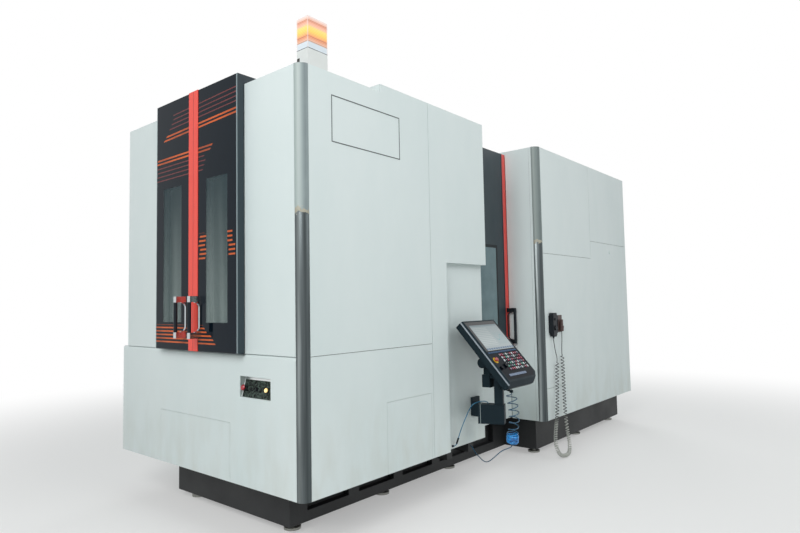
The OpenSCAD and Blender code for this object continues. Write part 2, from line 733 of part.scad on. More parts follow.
// Moves children to the console's face: x along the machine, y up the face, z out of it
module on_console() {
    translate([console_x, console_y, console_z]) rotate([0, -console_tilt, 0]) rotate([90, 0, 90]) children();
}

// Outline of the key plate, with a cut corner that follows the housing
function key_outline() = [[face_left, face_low], [face_right - 52, face_low],
    [face_right, face_low + 43.3], [face_right, -8], [face_left, -8]];
face_left = -console_w / 2 + 30;
face_right = console_w / 2 - 14;
face_low = -console_h / 2 + 20;

// Console housing: bevelled left edge, cut lower corner, upright chin, and tilt lugs behind
module console_housing() color(dark) place() {
    w = console_w / 2;
    h = console_h / 2;
    drop = console_chin * cos(console_tilt);
    back = console_chin * sin(console_tilt);
    difference() {
        on_console() translate([-w, 0, 0]) rotate([90, 0, 90]) linear_extrude(console_w)
            polygon([[-h, 0], [h, 0], [h, -console_t], [-h - drop + 14, -console_t], [-h - drop, -back]]);
        on_console() translate([0, 0, -console_t - 1]) linear_extrude(console_t + 2)
            polygon([[w - 120, -h - 50], [w + 1, -h - 50], [w + 1, -h + 50.8]]);
        on_console() translate([0, h + 1, 0]) rotate([90, 0, 0]) linear_extrude(console_h + 70)
            polygon([[-w - 1, -21], [-w + 21, 1], [-w - 1, 1]]);
        on_console() translate([face_left, -8, -4]) cube([face_right - face_left, h - 4, 5]);
        on_console() translate([0, 0, -4]) linear_extrude(5) polygon(key_outline());
        on_console() translate([estop_u, estop_v, -50]) cylinder(r = 11, h = 60);
    }
    for (sy = [-1, 1]) difference() {
        hull() {
            translate([pivot_x, post_y + sy * 78 - 12, pivot_z]) rotate([-90, 0, 0])
                cylinder(r = 40, h = 24, $fn = 32);
            on_console() translate([post_y + sy * 78 - 12 - console_y, -130, -console_t]) cube([24, 190, eps]);
        }
        translate([pivot_x, post_y + sy * 78 - 20, pivot_z]) rotate([-90, 0, 0])
            cylinder(r = pivot_r + run_gap, h = 40);
    }
}
estop_u = -console_w / 2 + 65;
estop_v = -109;

module console_screen() color([0.75, 0.8, 0.85]) place() on_console()
    translate([face_left, -8, -4]) cube([face_right - face_left, console_h / 2 - 4, 3]);

// Key plate with its rows of keys and two dials
module console_keypad() color(black) place() on_console() {
    difference() {
        union() {
            translate([0, 0, -4]) linear_extrude(3) polygon(key_outline());
            for (col = [0 : 11]) translate([face_left + 6 + col * 40, -36, -1.5]) cube([34, 16, 4.5]);
            for (row = [0 : 5], col = [0 : 9]) translate([face_left + 150 + col * 33, -72 - row * 31, -1.5])
                cube([24, 21, 5]);
            for (col = [0 : 6]) translate([face_left + 70 + col * 42, -286, -1.5]) cube([34, 22, 3]);
        }
        translate([estop_u, estop_v, -50]) cylinder(r = 11, h = 60);
    }
    for (at = [[estop_u + 85, -175, 22], [estop_u, -192, 18]]) translate([at[0], at[1], -1.5])
        cylinder(r = at[2], h = 16);
}

module console_estop() color("red") place() on_console() translate([estop_u, estop_v, 0]) {
    translate([0, 0, -40]) cylinder(r = 11 - run_gap, h = 50);
    translate([0, 0, 9]) cylinder(r1 = 14, r2 = 20, h = 6);
    translate([0, 0, 15]) cylinder(r1 = 20, r2 = 15, h = 7);
}

// Points on a smooth curve through a list of points
function spline_at(p, i, t) = let (
    a = p[max(i - 1, 0)], b = p[i], c = p[i + 1], d = p[min(i + 2, len(p) - 1)])
    0.5 * (2 * b + (c - a) * t + (2 * a - 5 * b + 4 * c - d) * t * t
        + (3 * b - a - 3 * c + d) * t * t * t);
function spline(p, n) = [for (i = [0 : len(p) - 2], k = [0 : n - 1]) spline_at(p, i, k / n), p[len(p) - 1]];
function unit(v) = v / norm(v);
function direction(q, i) = unit(q[min(i + 1, len(q) - 1)] - q[max(i - 1, 0)]);

// A tube along a route: rings of eight points, square to the route
module tube(route, r, n, across) {
    q = spline(route, n);
    m = len(q);
    rings = [for (i = [0 : m - 1]) let (t = direction(q, i), u = unit(cross(t, across)), v = cross(t, u))
        for (k = [0 : 7]) q[i] + r * (cos(45 * k) * u + sin(45 * k) * v)];
    sides = [for (i = [0 : m - 2], k = [0 : 7])
        [8 * i + k, 8 * i + (k + 1) % 8, 8 * i + 8 + (k + 1) % 8, 8 * i + 8 + k]];
    polyhedron(rings, concat(sides, [[for (k = [7 : -1 : 0]) k]], [[for (k = [0 : 7]) 8 * (m - 1) + k]]));
}

// Routes of the hoses and of the handset's cord
spiral_route = [[462, 1920, 904.7], [462, 1920, 890], [462, 1920, 870], [472, 1922, 800], [480, 1927, 700],
    [466, 1931, 610], [465, 1931, 580], [465, 1931, 568], [465, 1931, 555.3]];
lead_route = [[452, 1933, 474.7], [442, 1930, 445], [360, 1898, 400], [200, 1925, 281],
    [30, 2042, 285], [-40, 2096, 302], [-74, 2116, 326], [-88, 2120, 338], [-99.7, 2120, 342]];
post_hose_route = [[-59.7, 1768, 412], [-48, 1769, 412], [-30, 1776, 420], [-18, 1790, 446], [-8, 1806, 507],
    [15, 1818, 579], [40, 1848, 664], [70, 1870, 739], [95, 1885, 776], [125, 1922, 794], [150, 1968, 797],
    [164, 2006, 787], [168, 2022, 771]];
coil_route = [[122, 3548, 1000], [126, 3526, 800], [132, 3500, 600], [141, 3464, 440], [156, 3398, 335],
    [178, 3330, 220], [203, 3300, 128], [226, 3335, 56], [238, 3435, 32], [234, 3530, 46], [214, 3592, 120],
    [184, 3618, 240], [160, 3640, 380], [140, 3664, 540], [130, 3678, 760], [124, 3680, 1000], [122, 3676, 1080]];
lead_1_route = [[120, 3485, 1265], [120, 3487, 1230], [120, 3515, 1130], [121, 3545, 1060], [122, 3548, 1000]];
lead_2_route = [[122, 3676, 1080], [121, 3680, 1150], [119, 3696, 1250], [118, 3700, 1335]];

module air_hose_spiral() color(hose_blue) place() tube(spiral_route, 42, 3, [0, 1, 0]);

module air_hose_bunch() color(hose_blue) place() translate([455, 1932, 475]) rotate_extrude()
    square([56, 80]);

module air_hose_lead() color(hose_blue) place() tube(lead_route, 4, 7, [0, 1, 0]);

module post_hose() color(hose_blue) place() tube(post_hose_route, 4, 7, [1, 0, 0]);

module handset_cord_coil() color("gray") place() tube(coil_route, 21, 4, [1, 0, 0]);

module handset_cord_leads() color(black) place() {
    tube(lead_1_route, 4, 5, [1, 0, 0]);
    tube(lead_2_route, 4, 5, [1, 0, 0]);
}

// Lifting ram of the pallet changer
module changer_ram() color(steel) place() translate([changer_x, changer_y, bed_z - 240])
    cylinder(r = ram_r, h = fork_z - bed_z + 240 - 0.3);

// Double fork with the turning partition
module changer_arm() color(iron) place() translate([changer_x, changer_y, 0]) {
    reach = pallet_arm + pallet_a / 2 - 30;
    outer = fork_gap / 2 + tine_w;
    g = fork_gap / 2;
    back = head_r + 20;
    difference() {
        slab(-outer, outer, -reach, reach, fork_z, pallet_z);
        for (s = [-1, 1]) translate([0, s * pallet_arm, fork_z - eps]) linear_extrude(fork_t + 2 * eps)
            polygon([[g, s * 400], [g, s * (60 - head_r)], [g - 60, -s * back], [60 - g, -s * back],
                [-g, s * (60 - head_r)], [-g, s * 400]]);
    }
    slab(-partition_half, partition_half, -30, 30, pallet_z - 20, 2540);
    slab(-outer, outer, -60, 60, pallet_z - eps, pallet_z + 160);
}

// Square pallet with chamfered corners and threaded holes
module pallet() {
    a = pallet_a / 2;
    c = pallet_chamfer;
    difference() {
        linear_extrude(pallet_h) polygon([[-a + c, -a], [a - c, -a], [a, -a + c], [a, a - c],
            [a - c, a], [-a + c, a], [-a, a - c], [-a, -a + c]]);
        for (x = [-1, 1], y = [-1, 1]) translate([x * pallet_pitch / 2, y * pallet_pitch / 2, pallet_h - 40])
            cylinder(r = pallet_hole_r, h = 41, $fn = 24);
    }
}

module pallets() color(steel) place()
    for (s = [-1, 1]) translate([changer_x, changer_y + s * pallet_arm, pallet_z]) pallet();

// Saddle on the table's rails
module table_saddle() color(iron) place() translate([changer_x, table_y, 0]) difference() {
    slab(-430, 430, -330, 330, bed_z + 8, saddle_z + saddle_h);
    for (s = [-1, 1]) slab(s * table_rail - 22.3, s * table_rail + 22.3, -331, 331, bed_z, saddle_z + 0.3);
    translate([0, 0, saddle_z + 60]) cylinder(r = 120 + run_gap, h = saddle_h);
}

module rotary_table() color(steel) place() translate([changer_x, table_y, 0]) {
    translate([0, 0, saddle_z + 62]) cylinder(r = 120, h = saddle_h - 60);
    translate([0, 0, saddle_z + saddle_h + 0.3]) cylinder(r = 280, h = 180);
    translate([0, 0, saddle_z + saddle_h + 180]) cylinder(r = head_r, h = seat_z - saddle_z - saddle_h - 180);
}

// Portal column on cross rails
module spindle_column() color(iron) place() difference() {
    slab(changer_x - column_w / 2, changer_x + column_w / 2, column_y, column_y + column_d,
        bed_z + 8, column_top);
    for (y = [column_y + 130, column_y + 620]) slab(left_x, 0, y - 25.3, y + 25.3, bed_z, saddle_z + 0.3);
    slab(changer_x - column_slot / 2, changer_x + column_slot / 2, column_y - eps, column_y + column_d + eps,
        960, column_top - 260);
}

// Spindle head, which runs in the column's slot
module spindle_head() color(iron) place() translate([changer_x, 0, spindle_z]) difference() {
    union() {
        slab(-column_slot / 2 + 0.3, column_slot / 2 - 0.3, column_y - 150, column_y + 700, -230, 230);
        translate([0, spindle_y + 30, 0]) rotate([-90, 0, 0]) cylinder(r = 130, h = column_y - spindle_y - 100);
    }
    translate([0, spindle_y, 0]) rotate([-90, 0, 0]) cylinder(r = spindle_r + run_gap, h = 800);
}

module spindle() color(steel) place() translate([changer_x, spindle_y, spindle_z]) rotate([-90, 0, 0]) {
    difference() {
        cylinder(r = spindle_r, h = 780);
        translate([0, 0, -eps]) cylinder(r1 = 35, r2 = 20, h = 104);
    }
}

// Disc magazine with pockets round its rim
module tool_magazine() color(dark) place() translate([0, magazine_y, magazine_z]) rotate([0, 90, 0]) {
    translate([0, 0, left_x + 160]) cylinder(r = 60, h = magazine_x - left_x - 100);
    translate([0, 0, magazine_x]) cylinder(r = 500, h = 40);
    for (a = [0 : 20 : 340]) rotate([0, 0, a]) translate([440, 0, magazine_x + 39]) cylinder(r1 = 45, r2 = 30, h = 60);
}
magazine_x = left_x + 230;
magazine_y = 4300;
magazine_z = 2250;

// Double-ended tool change arm beside the spindle
module tool_change_arm() color(steel) place() translate([tool_arm_x, column_y - 130, spindle_z])
    rotate([-90, 0, 0]) {
        cylinder(r = 50, h = 115);
        difference() {
            slab(-200, 200, -45, 45, 0, 39);
            for (s = [-1, 1]) translate([s * 200, 0, -eps]) cylinder(r = 36, h = 42);
        }
    }
tool_arm_x = -2190;

// Side door of the machining area with its window opening, hangers and strip
module machining_door() color(dark) place() {
    y1 = side_door_y;
    y0 = y1 - side_door_w;
    x1 = -side_door_in;
    x0 = x1 - side_door_t;
    wy1 = y1 - side_window_in;
    difference() {
        slab(x0, x1, y0, y1, side_door_z, roof_low_z - 5);
        slab(x0 - eps, x1 + eps, wy1 - side_window_w, wy1, side_window_z, side_window_top);
        slab(x1 - glass_t, x1 + eps, wy1 - side_window_w - 14, wy1 + 14, side_window_z - 14, side_window_top + 14);
        slab(x1 - seam_d, x1 + eps, y0 - eps, y1 + eps, side_apron_z, side_apron_z + seam_w);
    }
    for (y = [y0 + 60, y1 - 140]) slab(x0 - 33, x0 + eps, y, y + 80, rail_top + 0.3, rail_top + 12);
    slab(x1 - eps, x1 + strip_proud, y1 - side_strip_w, y1, side_door_z + 5, roof_low_z - 10);
}

module machining_window() color([0.3, 0.33, 0.36, 0.7]) place() {
    wy1 = side_door_y - side_window_in;
    x1 = -side_door_in;
    slab(x1 - glass_t, x1, wy1 - side_window_w - 14, wy1 + 14, side_window_z - 14, side_window_top + 14);
}

// Upright D handle: end blocks, a round grip between them and a bow with round corners; it faces -Y
module d_handle(length, reach) {
    for (z = [0, length - handle_cap]) {
        slab(-14, 14, -reach + grip_r, 0, z, z + handle_cap);
        translate([0, -reach + grip_r, z]) cylinder(r = grip_r, h = handle_cap);
    }
    translate([0, -reach + grip_r, handle_cap - eps]) cylinder(r = grip_r - 1, h = length - 2 * handle_cap + 2 * eps);
    cy = -6 - bow_r;
    low = handle_cap - 0.5 + bow_r;
    high = length - low;
    translate([0, cy, low]) rotate([90, 0, 90]) rotate([0, 0, -90]) rotate_extrude(angle = 90)
        translate([bow_r - 5, -10]) square([5, 20]);
    translate([0, cy, high]) rotate([90, 0, 90]) rotate_extrude(angle = 90)
        translate([bow_r - 5, -10]) square([5, 20]);
    slab(-10, 10, cy + bow_r - 5, cy + bow_r, low - eps, high + eps);
}

module machining_handle() color(black) place()
    translate([-side_door_in + strip_proud, side_door_y - side_strip_w / 2, 1215]) rotate([0, 0, 90])
        d_handle(390, handle_reach);

// One leaf of the set-up station's doors, with its own piece of roof; s is -1 left and 1 right
module station_leaf(s) {
    x0 = s < 0 ? door_x - leaf_w : door_x + 1.5;
    x1 = s < 0 ? door_x - 1.5 : door_x + leaf_w;
    wa = s < 0 ? door_x - window_in - window_w : door_x + window_in;
    sa = s < 0 ? door_x - strip_half : door_x + 1.5;
    sb = s < 0 ? door_x - 1.5 : door_x + strip_half;
    y0 = -door_proud + glass_t;
    difference() {
        slab(x0, x1, y0, y0 + door_t, sill_z + 4, roof_high_z);
        slab(wa, wa + window_w, y0 - eps, y0 + door_t + eps, window_z, window_z + window_h);
    }
    slab(x0, x1, y0 + door_t - eps, roof_step_y - 8, roof_low_z + leaf_gap, roof_high_z);
    slab(sa, sb, -door_proud - strip_proud, y0 + eps, sill_z + 4, roof_high_z);
}

// The glass that faces one leaf
module station_glass(s) {
    x0 = s < 0 ? door_x - leaf_w + 2 : door_x + strip_half;
    x1 = s < 0 ? door_x - strip_half : door_x + leaf_w - 2;
    slab(x0, x1, -door_proud, -door_proud + glass_t, sill_z + 8, roof_high_z - 4);
}

module station_handle(s) {
    translate([door_x + s * handle_off, -door_proud, handle_z]) d_handle(handle_l, handle_reach);
}

module station_door_left() color(dark) place() station_leaf(-1);
module station_door_right() color(dark) place() station_leaf(1);
module station_glass_left() color([0.1, 0.12, 0.13, 0.8]) place() station_glass(-1);
module station_glass_right() color([0.1, 0.12, 0.13, 0.8]) place() station_glass(1);
module station_handle_left() color(black) place() station_handle(-1);
module station_handle_right() color(black) place() station_handle(1);

bed_casting();
levelling_feet();
front_lower_cover();
front_access_panel();
control_recess_panel();
front_left_panel();
front_right_panel();
front_corner_pillar();
side_upper_panel();
side_lower_panel();
side_access_panel();
side_overhang_cover();
left_cover();
station_roof();
beacon_base();
beacon_lens();
partition_frame();
rear_front_panel();
rear_corner_pillar();
rear_right_cover();
rear_roof();
rear_back_cover();
handset_holder();
handset();
console_arm();
air_hose_spiral();
air_hose_bunch();
air_hose_lead();
post_hose();
handset_cord_leads();
handset_cord_coil();
changer_ram();
changer_arm();
pallets();
table_saddle();
rotary_table();
spindle_column();
spindle_head();
spindle();
tool_magazine();
tool_change_arm();
machining_door();
machining_window();
machining_handle();
station_door_left();
station_glass_left();
station_handle_left();
station_door_right();
station_glass_right();
station_handle_right();
cabinet_door();
main_switch();
console_yoke();
console_housing();
console_screen();
console_keypad();
console_estop();
panel_estop();
panel_button();
panel_selector();
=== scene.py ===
# %% [markdown]
# # A horizontal machining centre, dressed for its portrait
# The solids of this machine come from the CAD frame: covers, doors, pallets, column and console.
# This notebook gives them their surfaces (powder coat, stainless, cast iron, glass, rubber) and adds
# what only a picture needs: the windings of the hoses, the lamps in the beacon and printed stripes.
# All measures of the machine are first written in millimetres from its near front corner.

# %% Load the frame
import bpy
import math
import numpy as np
from mathutils import Matrix, Vector


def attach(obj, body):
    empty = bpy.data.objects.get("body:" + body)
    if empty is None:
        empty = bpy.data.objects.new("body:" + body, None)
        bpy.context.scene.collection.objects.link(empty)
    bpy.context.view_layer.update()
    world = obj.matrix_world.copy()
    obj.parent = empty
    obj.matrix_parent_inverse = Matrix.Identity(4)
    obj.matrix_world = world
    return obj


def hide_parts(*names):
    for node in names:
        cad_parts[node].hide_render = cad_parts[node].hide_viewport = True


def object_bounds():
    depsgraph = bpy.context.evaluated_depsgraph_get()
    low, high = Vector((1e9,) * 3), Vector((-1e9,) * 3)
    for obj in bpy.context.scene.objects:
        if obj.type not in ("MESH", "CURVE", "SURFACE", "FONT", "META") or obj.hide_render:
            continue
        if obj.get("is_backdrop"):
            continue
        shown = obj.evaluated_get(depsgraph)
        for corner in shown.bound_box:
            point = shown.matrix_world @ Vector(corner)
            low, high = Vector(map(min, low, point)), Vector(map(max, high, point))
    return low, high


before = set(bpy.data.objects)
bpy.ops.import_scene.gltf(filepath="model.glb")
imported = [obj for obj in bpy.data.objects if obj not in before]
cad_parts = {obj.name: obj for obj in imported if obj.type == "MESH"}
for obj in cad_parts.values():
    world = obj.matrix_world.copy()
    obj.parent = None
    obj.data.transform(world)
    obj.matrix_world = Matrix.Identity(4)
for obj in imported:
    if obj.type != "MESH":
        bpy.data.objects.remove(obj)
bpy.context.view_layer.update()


def box_lists():
    """The whole object's lowest and highest corners as plain lists."""
    return [[float(c) for c in corner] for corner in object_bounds()]


# %% [markdown]
# The frame's origin is the middle of the footprint, while the machine was measured from the sharp near
# front corner of its covers. Small functions change the one into the other, so that every later number
# can be read off the machine with a tape measure.

# %% From the corner to the frame
MID_X, MID_Y = -1003.5, 2905.0


def at_x(x):
    """Corner millimetres to frame metres, across: subtract the footprint's middle, divide by a thousand."""
    return (x - MID_X) / 1000


def at_y(y):
    """The same along the machine."""
    return (y - MID_Y) / 1000


def at(x, y, z):
    """The same for a point. Heights start from the floor in both, so they are only divided."""
    return (at_x(x), at_y(y), z / 1000)


def at_all(points):
    """The same for an (n, 3) array of points."""
    return (np.asarray(points, float) - (MID_X, MID_Y, 0)) / 1000


print("near front corner at", at(0, 0, 0))

# %% [markdown]
# ## The camera
# The photograph's perspective was solved from the machine's own straight edges. Its camera stood at eye
# height, turned 39.9 degrees to the left, looked 3.45 degrees up and leaned about one degree. A camera's
# matrix holds its right, up and backward directions as columns, so they are written straight in.

# %% Camera
YAW, PITCH, ROLL = np.radians([39.9, 3.45, -1.06])
EYE = at(3019.2, -2591.2, 1694.7)
ahead = np.array([-np.sin(YAW) * np.cos(PITCH), np.cos(YAW) * np.cos(PITCH), np.sin(PITCH)])
level_right = np.array([np.cos(YAW), np.sin(YAW), 0.0])
level_up = np.cross(level_right, ahead)
right = np.cos(ROLL) * level_right + np.sin(ROLL) * level_up
up = -np.sin(ROLL) * level_right + np.cos(ROLL) * level_up

camera = bpy.data.objects.new("camera", bpy.data.cameras.new("camera"))
bpy.context.scene.collection.objects.link(camera)
camera.matrix_world = Matrix([[right[i], up[i], -ahead[i], EYE[i]] for i in range(3)] + [[0, 0, 0, 1]])
camera.data.sensor_width = 36
camera.data.lens = 26.55
camera.data.clip_end = 200
bpy.context.scene.camera = camera
print("camera at", tuple(round(c, 3) for c in camera.matrix_world.translation))

# %% [markdown]
# ## Colours and nodes
# Paint is named by its sRGB hex value, as on a colour card. Shaders work in linear light, so one function
# turns the one into the other. A second one adds a shader node, sets it up and wires its inputs. The wiring
# is a third one, because a material's main shader is there already when its inputs are found.

# %% Colour and node helpers
def paint(code):
    """sRGB hex to linear RGBA: c/12.92 below 0.04045, else ((c+0.055)/1.055) to the power 2.4."""
    c = np.array([int(code[i:i + 2], 16) for i in (1, 3, 5)]) / 255
    linear = np.where(c <= 0.04045, c / 12.92, ((c + 0.055) / 1.055) ** 2.4)
    return (*linear.tolist(), 1.0)


def wire(made, wires):
    """Feeds a node's inputs, by name or in order. A node stands for its first live output and is linked, as
    a socket is; a text is a hex colour; anything else is the input's plain value."""
    for name, value in (wires if isinstance(wires, dict) else dict(enumerate(wires))).items():
        if isinstance(value, bpy.types.Node):
            value = next(output for output in value.outputs if output.enabled)
        if isinstance(value, bpy.types.NodeSocket):
            made.id_data.links.new(value, made.inputs[name])
        else:
            made.inputs[name].default_value = paint(value) if isinstance(value, str) else value
    return made


def add(tree, kind, wires=(), stops=(), **settings):
    """Adds one shader node. Its kind may name an operation too, as in "Math ADD". Stops are the (place, hex)
    marks of a colour ramp, settings the node's own properties."""
    kind, _, operation = kind.partition(" ")
    made = tree.nodes.new("ShaderNode" + kind)
    if operation:
        made.operation = operation
    for name, value in settings.items():
        setattr(made, name, value)
    for k, (place, code) in enumerate(stops):
        mark = made.color_ramp.elements[k] if k < 2 else made.color_ramp.elements.new(place)
        mark.color = paint(code)
        mark.position = place
    return wire(made, wires)


# %% [markdown]
# A material starts with one Principled shader. A variant of a finish starts as its copy, and then takes
# what already feeds an input as the lowest layer of something new.

# %% Materials, copies and coordinates
def blank_material(name):
    """An empty material with its Principled shader wired to the output; returns material, tree, shader."""
    material = bpy.data.materials.new(name)
    material.use_nodes = True
    tree = material.node_tree
    tree.nodes.clear()
    shader = add(tree, "BsdfPrincipled")
    add(tree, "OutputMaterial", {"Surface": shader})
    return material, tree, shader


def shader_of(material):
    """The material's Principled shader."""
    return next(n for n in material.node_tree.nodes if n.type == "BSDF_PRINCIPLED")


def copy_of(base, name):
    """A finish's copy under a name of its own; returns material, tree, shader."""
    material = base.copy()
    material.name = name
    return material, material.node_tree, shader_of(material)


def fed_by(shader, name):
    """What an input takes now: the socket linked to it, or its plain value."""
    links = shader.inputs[name].links
    return links[0].from_socket if links else shader.inputs[name].default_value


def place_of(tree):
    """Object coordinates in metres and their three parts."""
    spot = add(tree, "TexCoord").outputs["Object"]
    return (spot, *add(tree, "SeparateXYZ", [spot]).outputs)


print("materials before the first finish:", len(bpy.data.materials))

# %% [markdown]
# Most patterns here are masks: numbers that are 1 on a stripe, a key or a worn spot and 0 around it.
# Products and largest values join masks, and coats of colour are laid through them one over the other.

# %% Masks and coats
def all_of(tree, mask, *others):
    """1 only where every mask is 1: their product. A plain number among them weakens the rest."""
    for other in others:
        mask = add(tree, "Math MULTIPLY", [mask, other])
    return mask


def any_of(tree, mask, *others):
    """1 where at least one mask is 1: the largest of them."""
    for other in others:
        mask = add(tree, "Math MAXIMUM", [mask, other])
    return mask


def between(tree, value, low, high, soft=0.0004):
    """1 where low < value < high, 0 elsewhere, with edges that fade over a length."""
    rise = add(tree, "MapRange", [value, low - soft, low + soft])
    return all_of(tree, rise, add(tree, "MapRange", [value, high - soft, high + soft, 1.0, 0.0]))


def layered(tree, colour, *coats):
    """Coats of (mask, colour) over a first colour: each hides what is under it where its mask is 1."""
    for mask, coat in coats:
        colour = add(tree, "Mix", {0: mask, 6: colour, 7: coat}, data_type="RGBA")
    return colour


print("helpers ready; mid grey is", round(paint("#808080")[0], 3), "in linear light")

# %% [markdown]
# ## Powder-coated sheet
# The covers are steel sheet under a baked polyester powder coat. Real powder coat has a fine orange peel
# of about 2 mm, a soft sheen, and after some years a faint yellowing, dust on ledges and grime by the
# floor. A picture of real paint would repeat and blur on sheets of six metres; noises in Object
# coordinates never do. Too fine a peel would vanish in the render, so the bump is drawn at 6 mm. Cloudy
# soiling comes from two noises of 0.8 m and 0.12 m, stretched upright because dirty water runs down.

# %% Powder coat
SEAM_FRONT, SEAM_SIDES = 10, (-10, 80)          # mm: the seams' bottoms lie 10 mm under the faces


def seam_seals(tree, x, y):
    """1 on the bottoms of the seams, within 0.6 mm of their planes."""
    return any_of(tree, between(tree, y, at_y(SEAM_FRONT - 0.6), at_y(SEAM_FRONT + 0.6)),
                  *(between(tree, x, at_x(plane - 0.6), at_x(plane + 0.6)) for plane in SEAM_SIDES))


def powder_coat(name, colour, worn, soiled, rough=0.42, low_grime=0.0):
    """Sheet metal coat: base colour, a second tone in clouds, a soiled tone that gathers near the floor.
    The bottoms of the seams get the black of their seals."""
    material, tree, shader = blank_material(name)
    spot, x, y, z = place_of(tree)
    tall = add(tree, "Mapping", {"Vector": spot, "Scale": (1, 1, 0.35)})
    clouds = add(tree, "TexNoise", {"Vector": tall, "Scale": 1.3, "Detail": 5, "Roughness": 0.6})
    streaks = add(tree, "TexNoise", {"Vector": tall, "Scale": 8.0, "Detail": 4})
    dirt = all_of(tree, add(tree, "MapRange", [z, 0.38, 1.1, low_grime, 0.0]),
                  add(tree, "MapRange", [streaks, 0.4, 0.75]))
    peel = add(tree, "TexNoise", {"Vector": spot, "Scale": 160, "Detail": 2})
    wire(shader, {
        "Base Color": layered(tree, colour, (add(tree, "MapRange", [clouds, 0.35, 0.7]), worn), (dirt, soiled),
                              (seam_seals(tree, x, y), "#2B2F30")),
        "Roughness": add(tree, "MapRange", [streaks, 0.3, 0.7, rough - 0.04, rough + 0.08]),
        "Normal": add(tree, "Bump", {"Height": peel, "Strength": 0.06, "Distance": 0.001})})
    return material


cover_white = powder_coat("powder_coat_white", "#D4DDDC", "#CDD8D7", "#B4B3A4", 0.4, 0.3)
frame_coat = powder_coat("powder_coat_slate", "#212E35", "#26353C", "#4A4D49", 0.38, 0.3)
# The recess's tray, painted grey as painted shade inside the recess.
recess_painted_shade_coat = powder_coat("powder_coat_painted_shade_grey", "#A6B0AD", "#9EA8A5", "#8F918A", 0.4)
console_coat = powder_coat("powder_coat_graphite", "#182126", "#1E292E", "#2E3538", 0.42)
print("powder coats made")

# %% [markdown]
# ## Brushed stainless corner pillars
# The two round corner pillars are cold-rolled stainless, brushed upright. Metal takes its colour from
# what it mirrors. The shader's anisotropy would stretch its highlights, but a bare studio gives it little
# to mirror, so a ramp across the pillar's round paints light and dark bands: painted reflections on the
# bare metal, and painted shade across the round of the film.
# The upper part still wears a dull grey transport film, torn off at about 2.3 m with a crinkled edge: the
# film is a plastic, so metallic falls to zero above a wavy line that a noise moves up and down.

# %% Where the film ends
FILM_EDGE, EDGE_WAVE, LIP = 2.25, 0.12, 0.035   # metres
pillar_steel, tree, shader = blank_material("brushed_stainless_with_film")
spot, x, y, z = place_of(tree)
wave = add(tree, "TexNoise", {"Vector": spot, "Scale": 22.0, "Detail": 3})
above_edge = add(tree, "Math SUBTRACT", [z, add(tree, "Math MULTIPLY_ADD", [wave, EDGE_WAVE, FILM_EDGE])])
film = add(tree, "MapRange", [above_edge, -0.001, 0.001])
torn_lip = between(tree, above_edge, 0.0, LIP, 0.004)
print("film above", FILM_EDGE, "m")

# %% [markdown]
# Across a pillar, x + y grows from its front edge to its side edge. The rear pillar's sum is larger by a
# constant, which is taken off where y is positive, so one ramp serves both.

# %% Painted reflections and shade across the pillar
FRONT_SUM, REAR_STEP, HALF_ROUND = 1.9015, 3.360, 0.068
is_rear = add(tree, "Math GREATER_THAN", [y, 0.0])
around = add(tree, "Math ADD", [add(tree, "Math ADD", [x, y]), FRONT_SUM])
around = add(tree, "Math SUBTRACT", [around, all_of(tree, is_rear, REAR_STEP)])
around = add(tree, "MapRange", [around, -HALF_ROUND, HALF_ROUND])
# Painted reflections on the bare metal and painted shade on the film: light and dark bands across the round.
metal_tone_and_painted_reflections = add(tree, "ValToRGB", [around], stops=[(0.0, "#5C6466"), (0.2, "#A4ACAC"), (0.42, "#6E7678"),
                                                    (0.72, "#3C4345"), (1.0, "#5E6668")])
film_tone_and_painted_shade = add(tree, "ValToRGB", [around], stops=[(0.0, "#98A4A2"), (0.25, "#A9B3B0"), (0.5, "#8C9897"),
                                                   (0.8, "#5F6B6E"), (1.0, "#7B8788")])
print("pillars' bands made")

# %% [markdown]
# The brushing's lines are drawn 1 mm wide, coarser than real ones, and broad dark bands 40 mm wide run up
# the bare metal as painted reflections. The film has smears of 0.2 m, is painted darker on the rear pillar as
# painted shade, and crumples towards its torn lip, which the bump shows most of all.

# %% Pillar finish
fine = add(tree, "Mapping", {"Vector": spot, "Scale": (900, 900, 3)})
brushing = add(tree, "TexNoise", {"Vector": fine, "Scale": 1.0, "Detail": 3})
smears = add(tree, "TexNoise", {"Vector": spot, "Scale": 5.0, "Detail": 4})
broad = add(tree, "Mapping", {"Vector": spot, "Scale": (26, 26, 0.8)})
painted_reflection_bands = add(tree, "MapRange", [add(tree, "TexNoise", {"Vector": broad, "Scale": 1.0, "Detail": 3}), 0.40, 0.60])
# Broad dark bands on the metal are painted reflections; the rear pillar's darker film is painted shade.
metal_tone_and_painted_reflections = layered(tree, metal_tone_and_painted_reflections, (all_of(tree, painted_reflection_bands, 0.6), "#2A3133"),
                     (all_of(tree, brushing, 0.2), "#8E9596"))
film_tone_and_painted_shade = layered(tree, film_tone_and_painted_shade, (all_of(tree, smears, 0.5), "#93A09F"), (all_of(tree, is_rear, 0.5), "#4E5854"),
                    (torn_lip, layered(tree, "#625E50", (wave, "#BDB9A8"))))
crinkles = add(tree, "TexNoise", {"Vector": spot, "Scale": 45, "Detail": 4})
crumple = all_of(tree, crinkles, add(tree, "Math MULTIPLY_ADD", [torn_lip, 5.0, film]))
relief = add(tree, "Math MULTIPLY_ADD", [crumple, 0.5, all_of(tree, brushing, 0.05)])
metal_rough = add(tree, "Math MULTIPLY_ADD", [brushing, 0.14, 0.26])
wire(shader, {"Base Color": layered(tree, metal_tone_and_painted_reflections, (film, film_tone_and_painted_shade)),
              "Metallic": add(tree, "Math SUBTRACT", [1.0, film]),
              "Roughness": add(tree, "Math MULTIPLY_ADD", [film, 0.16, metal_rough]),
              "Normal": add(tree, "Bump", {"Height": relief, "Strength": 0.35, "Distance": 0.004})})
print(pillar_steel.name, "made of", len(tree.nodes), "nodes")

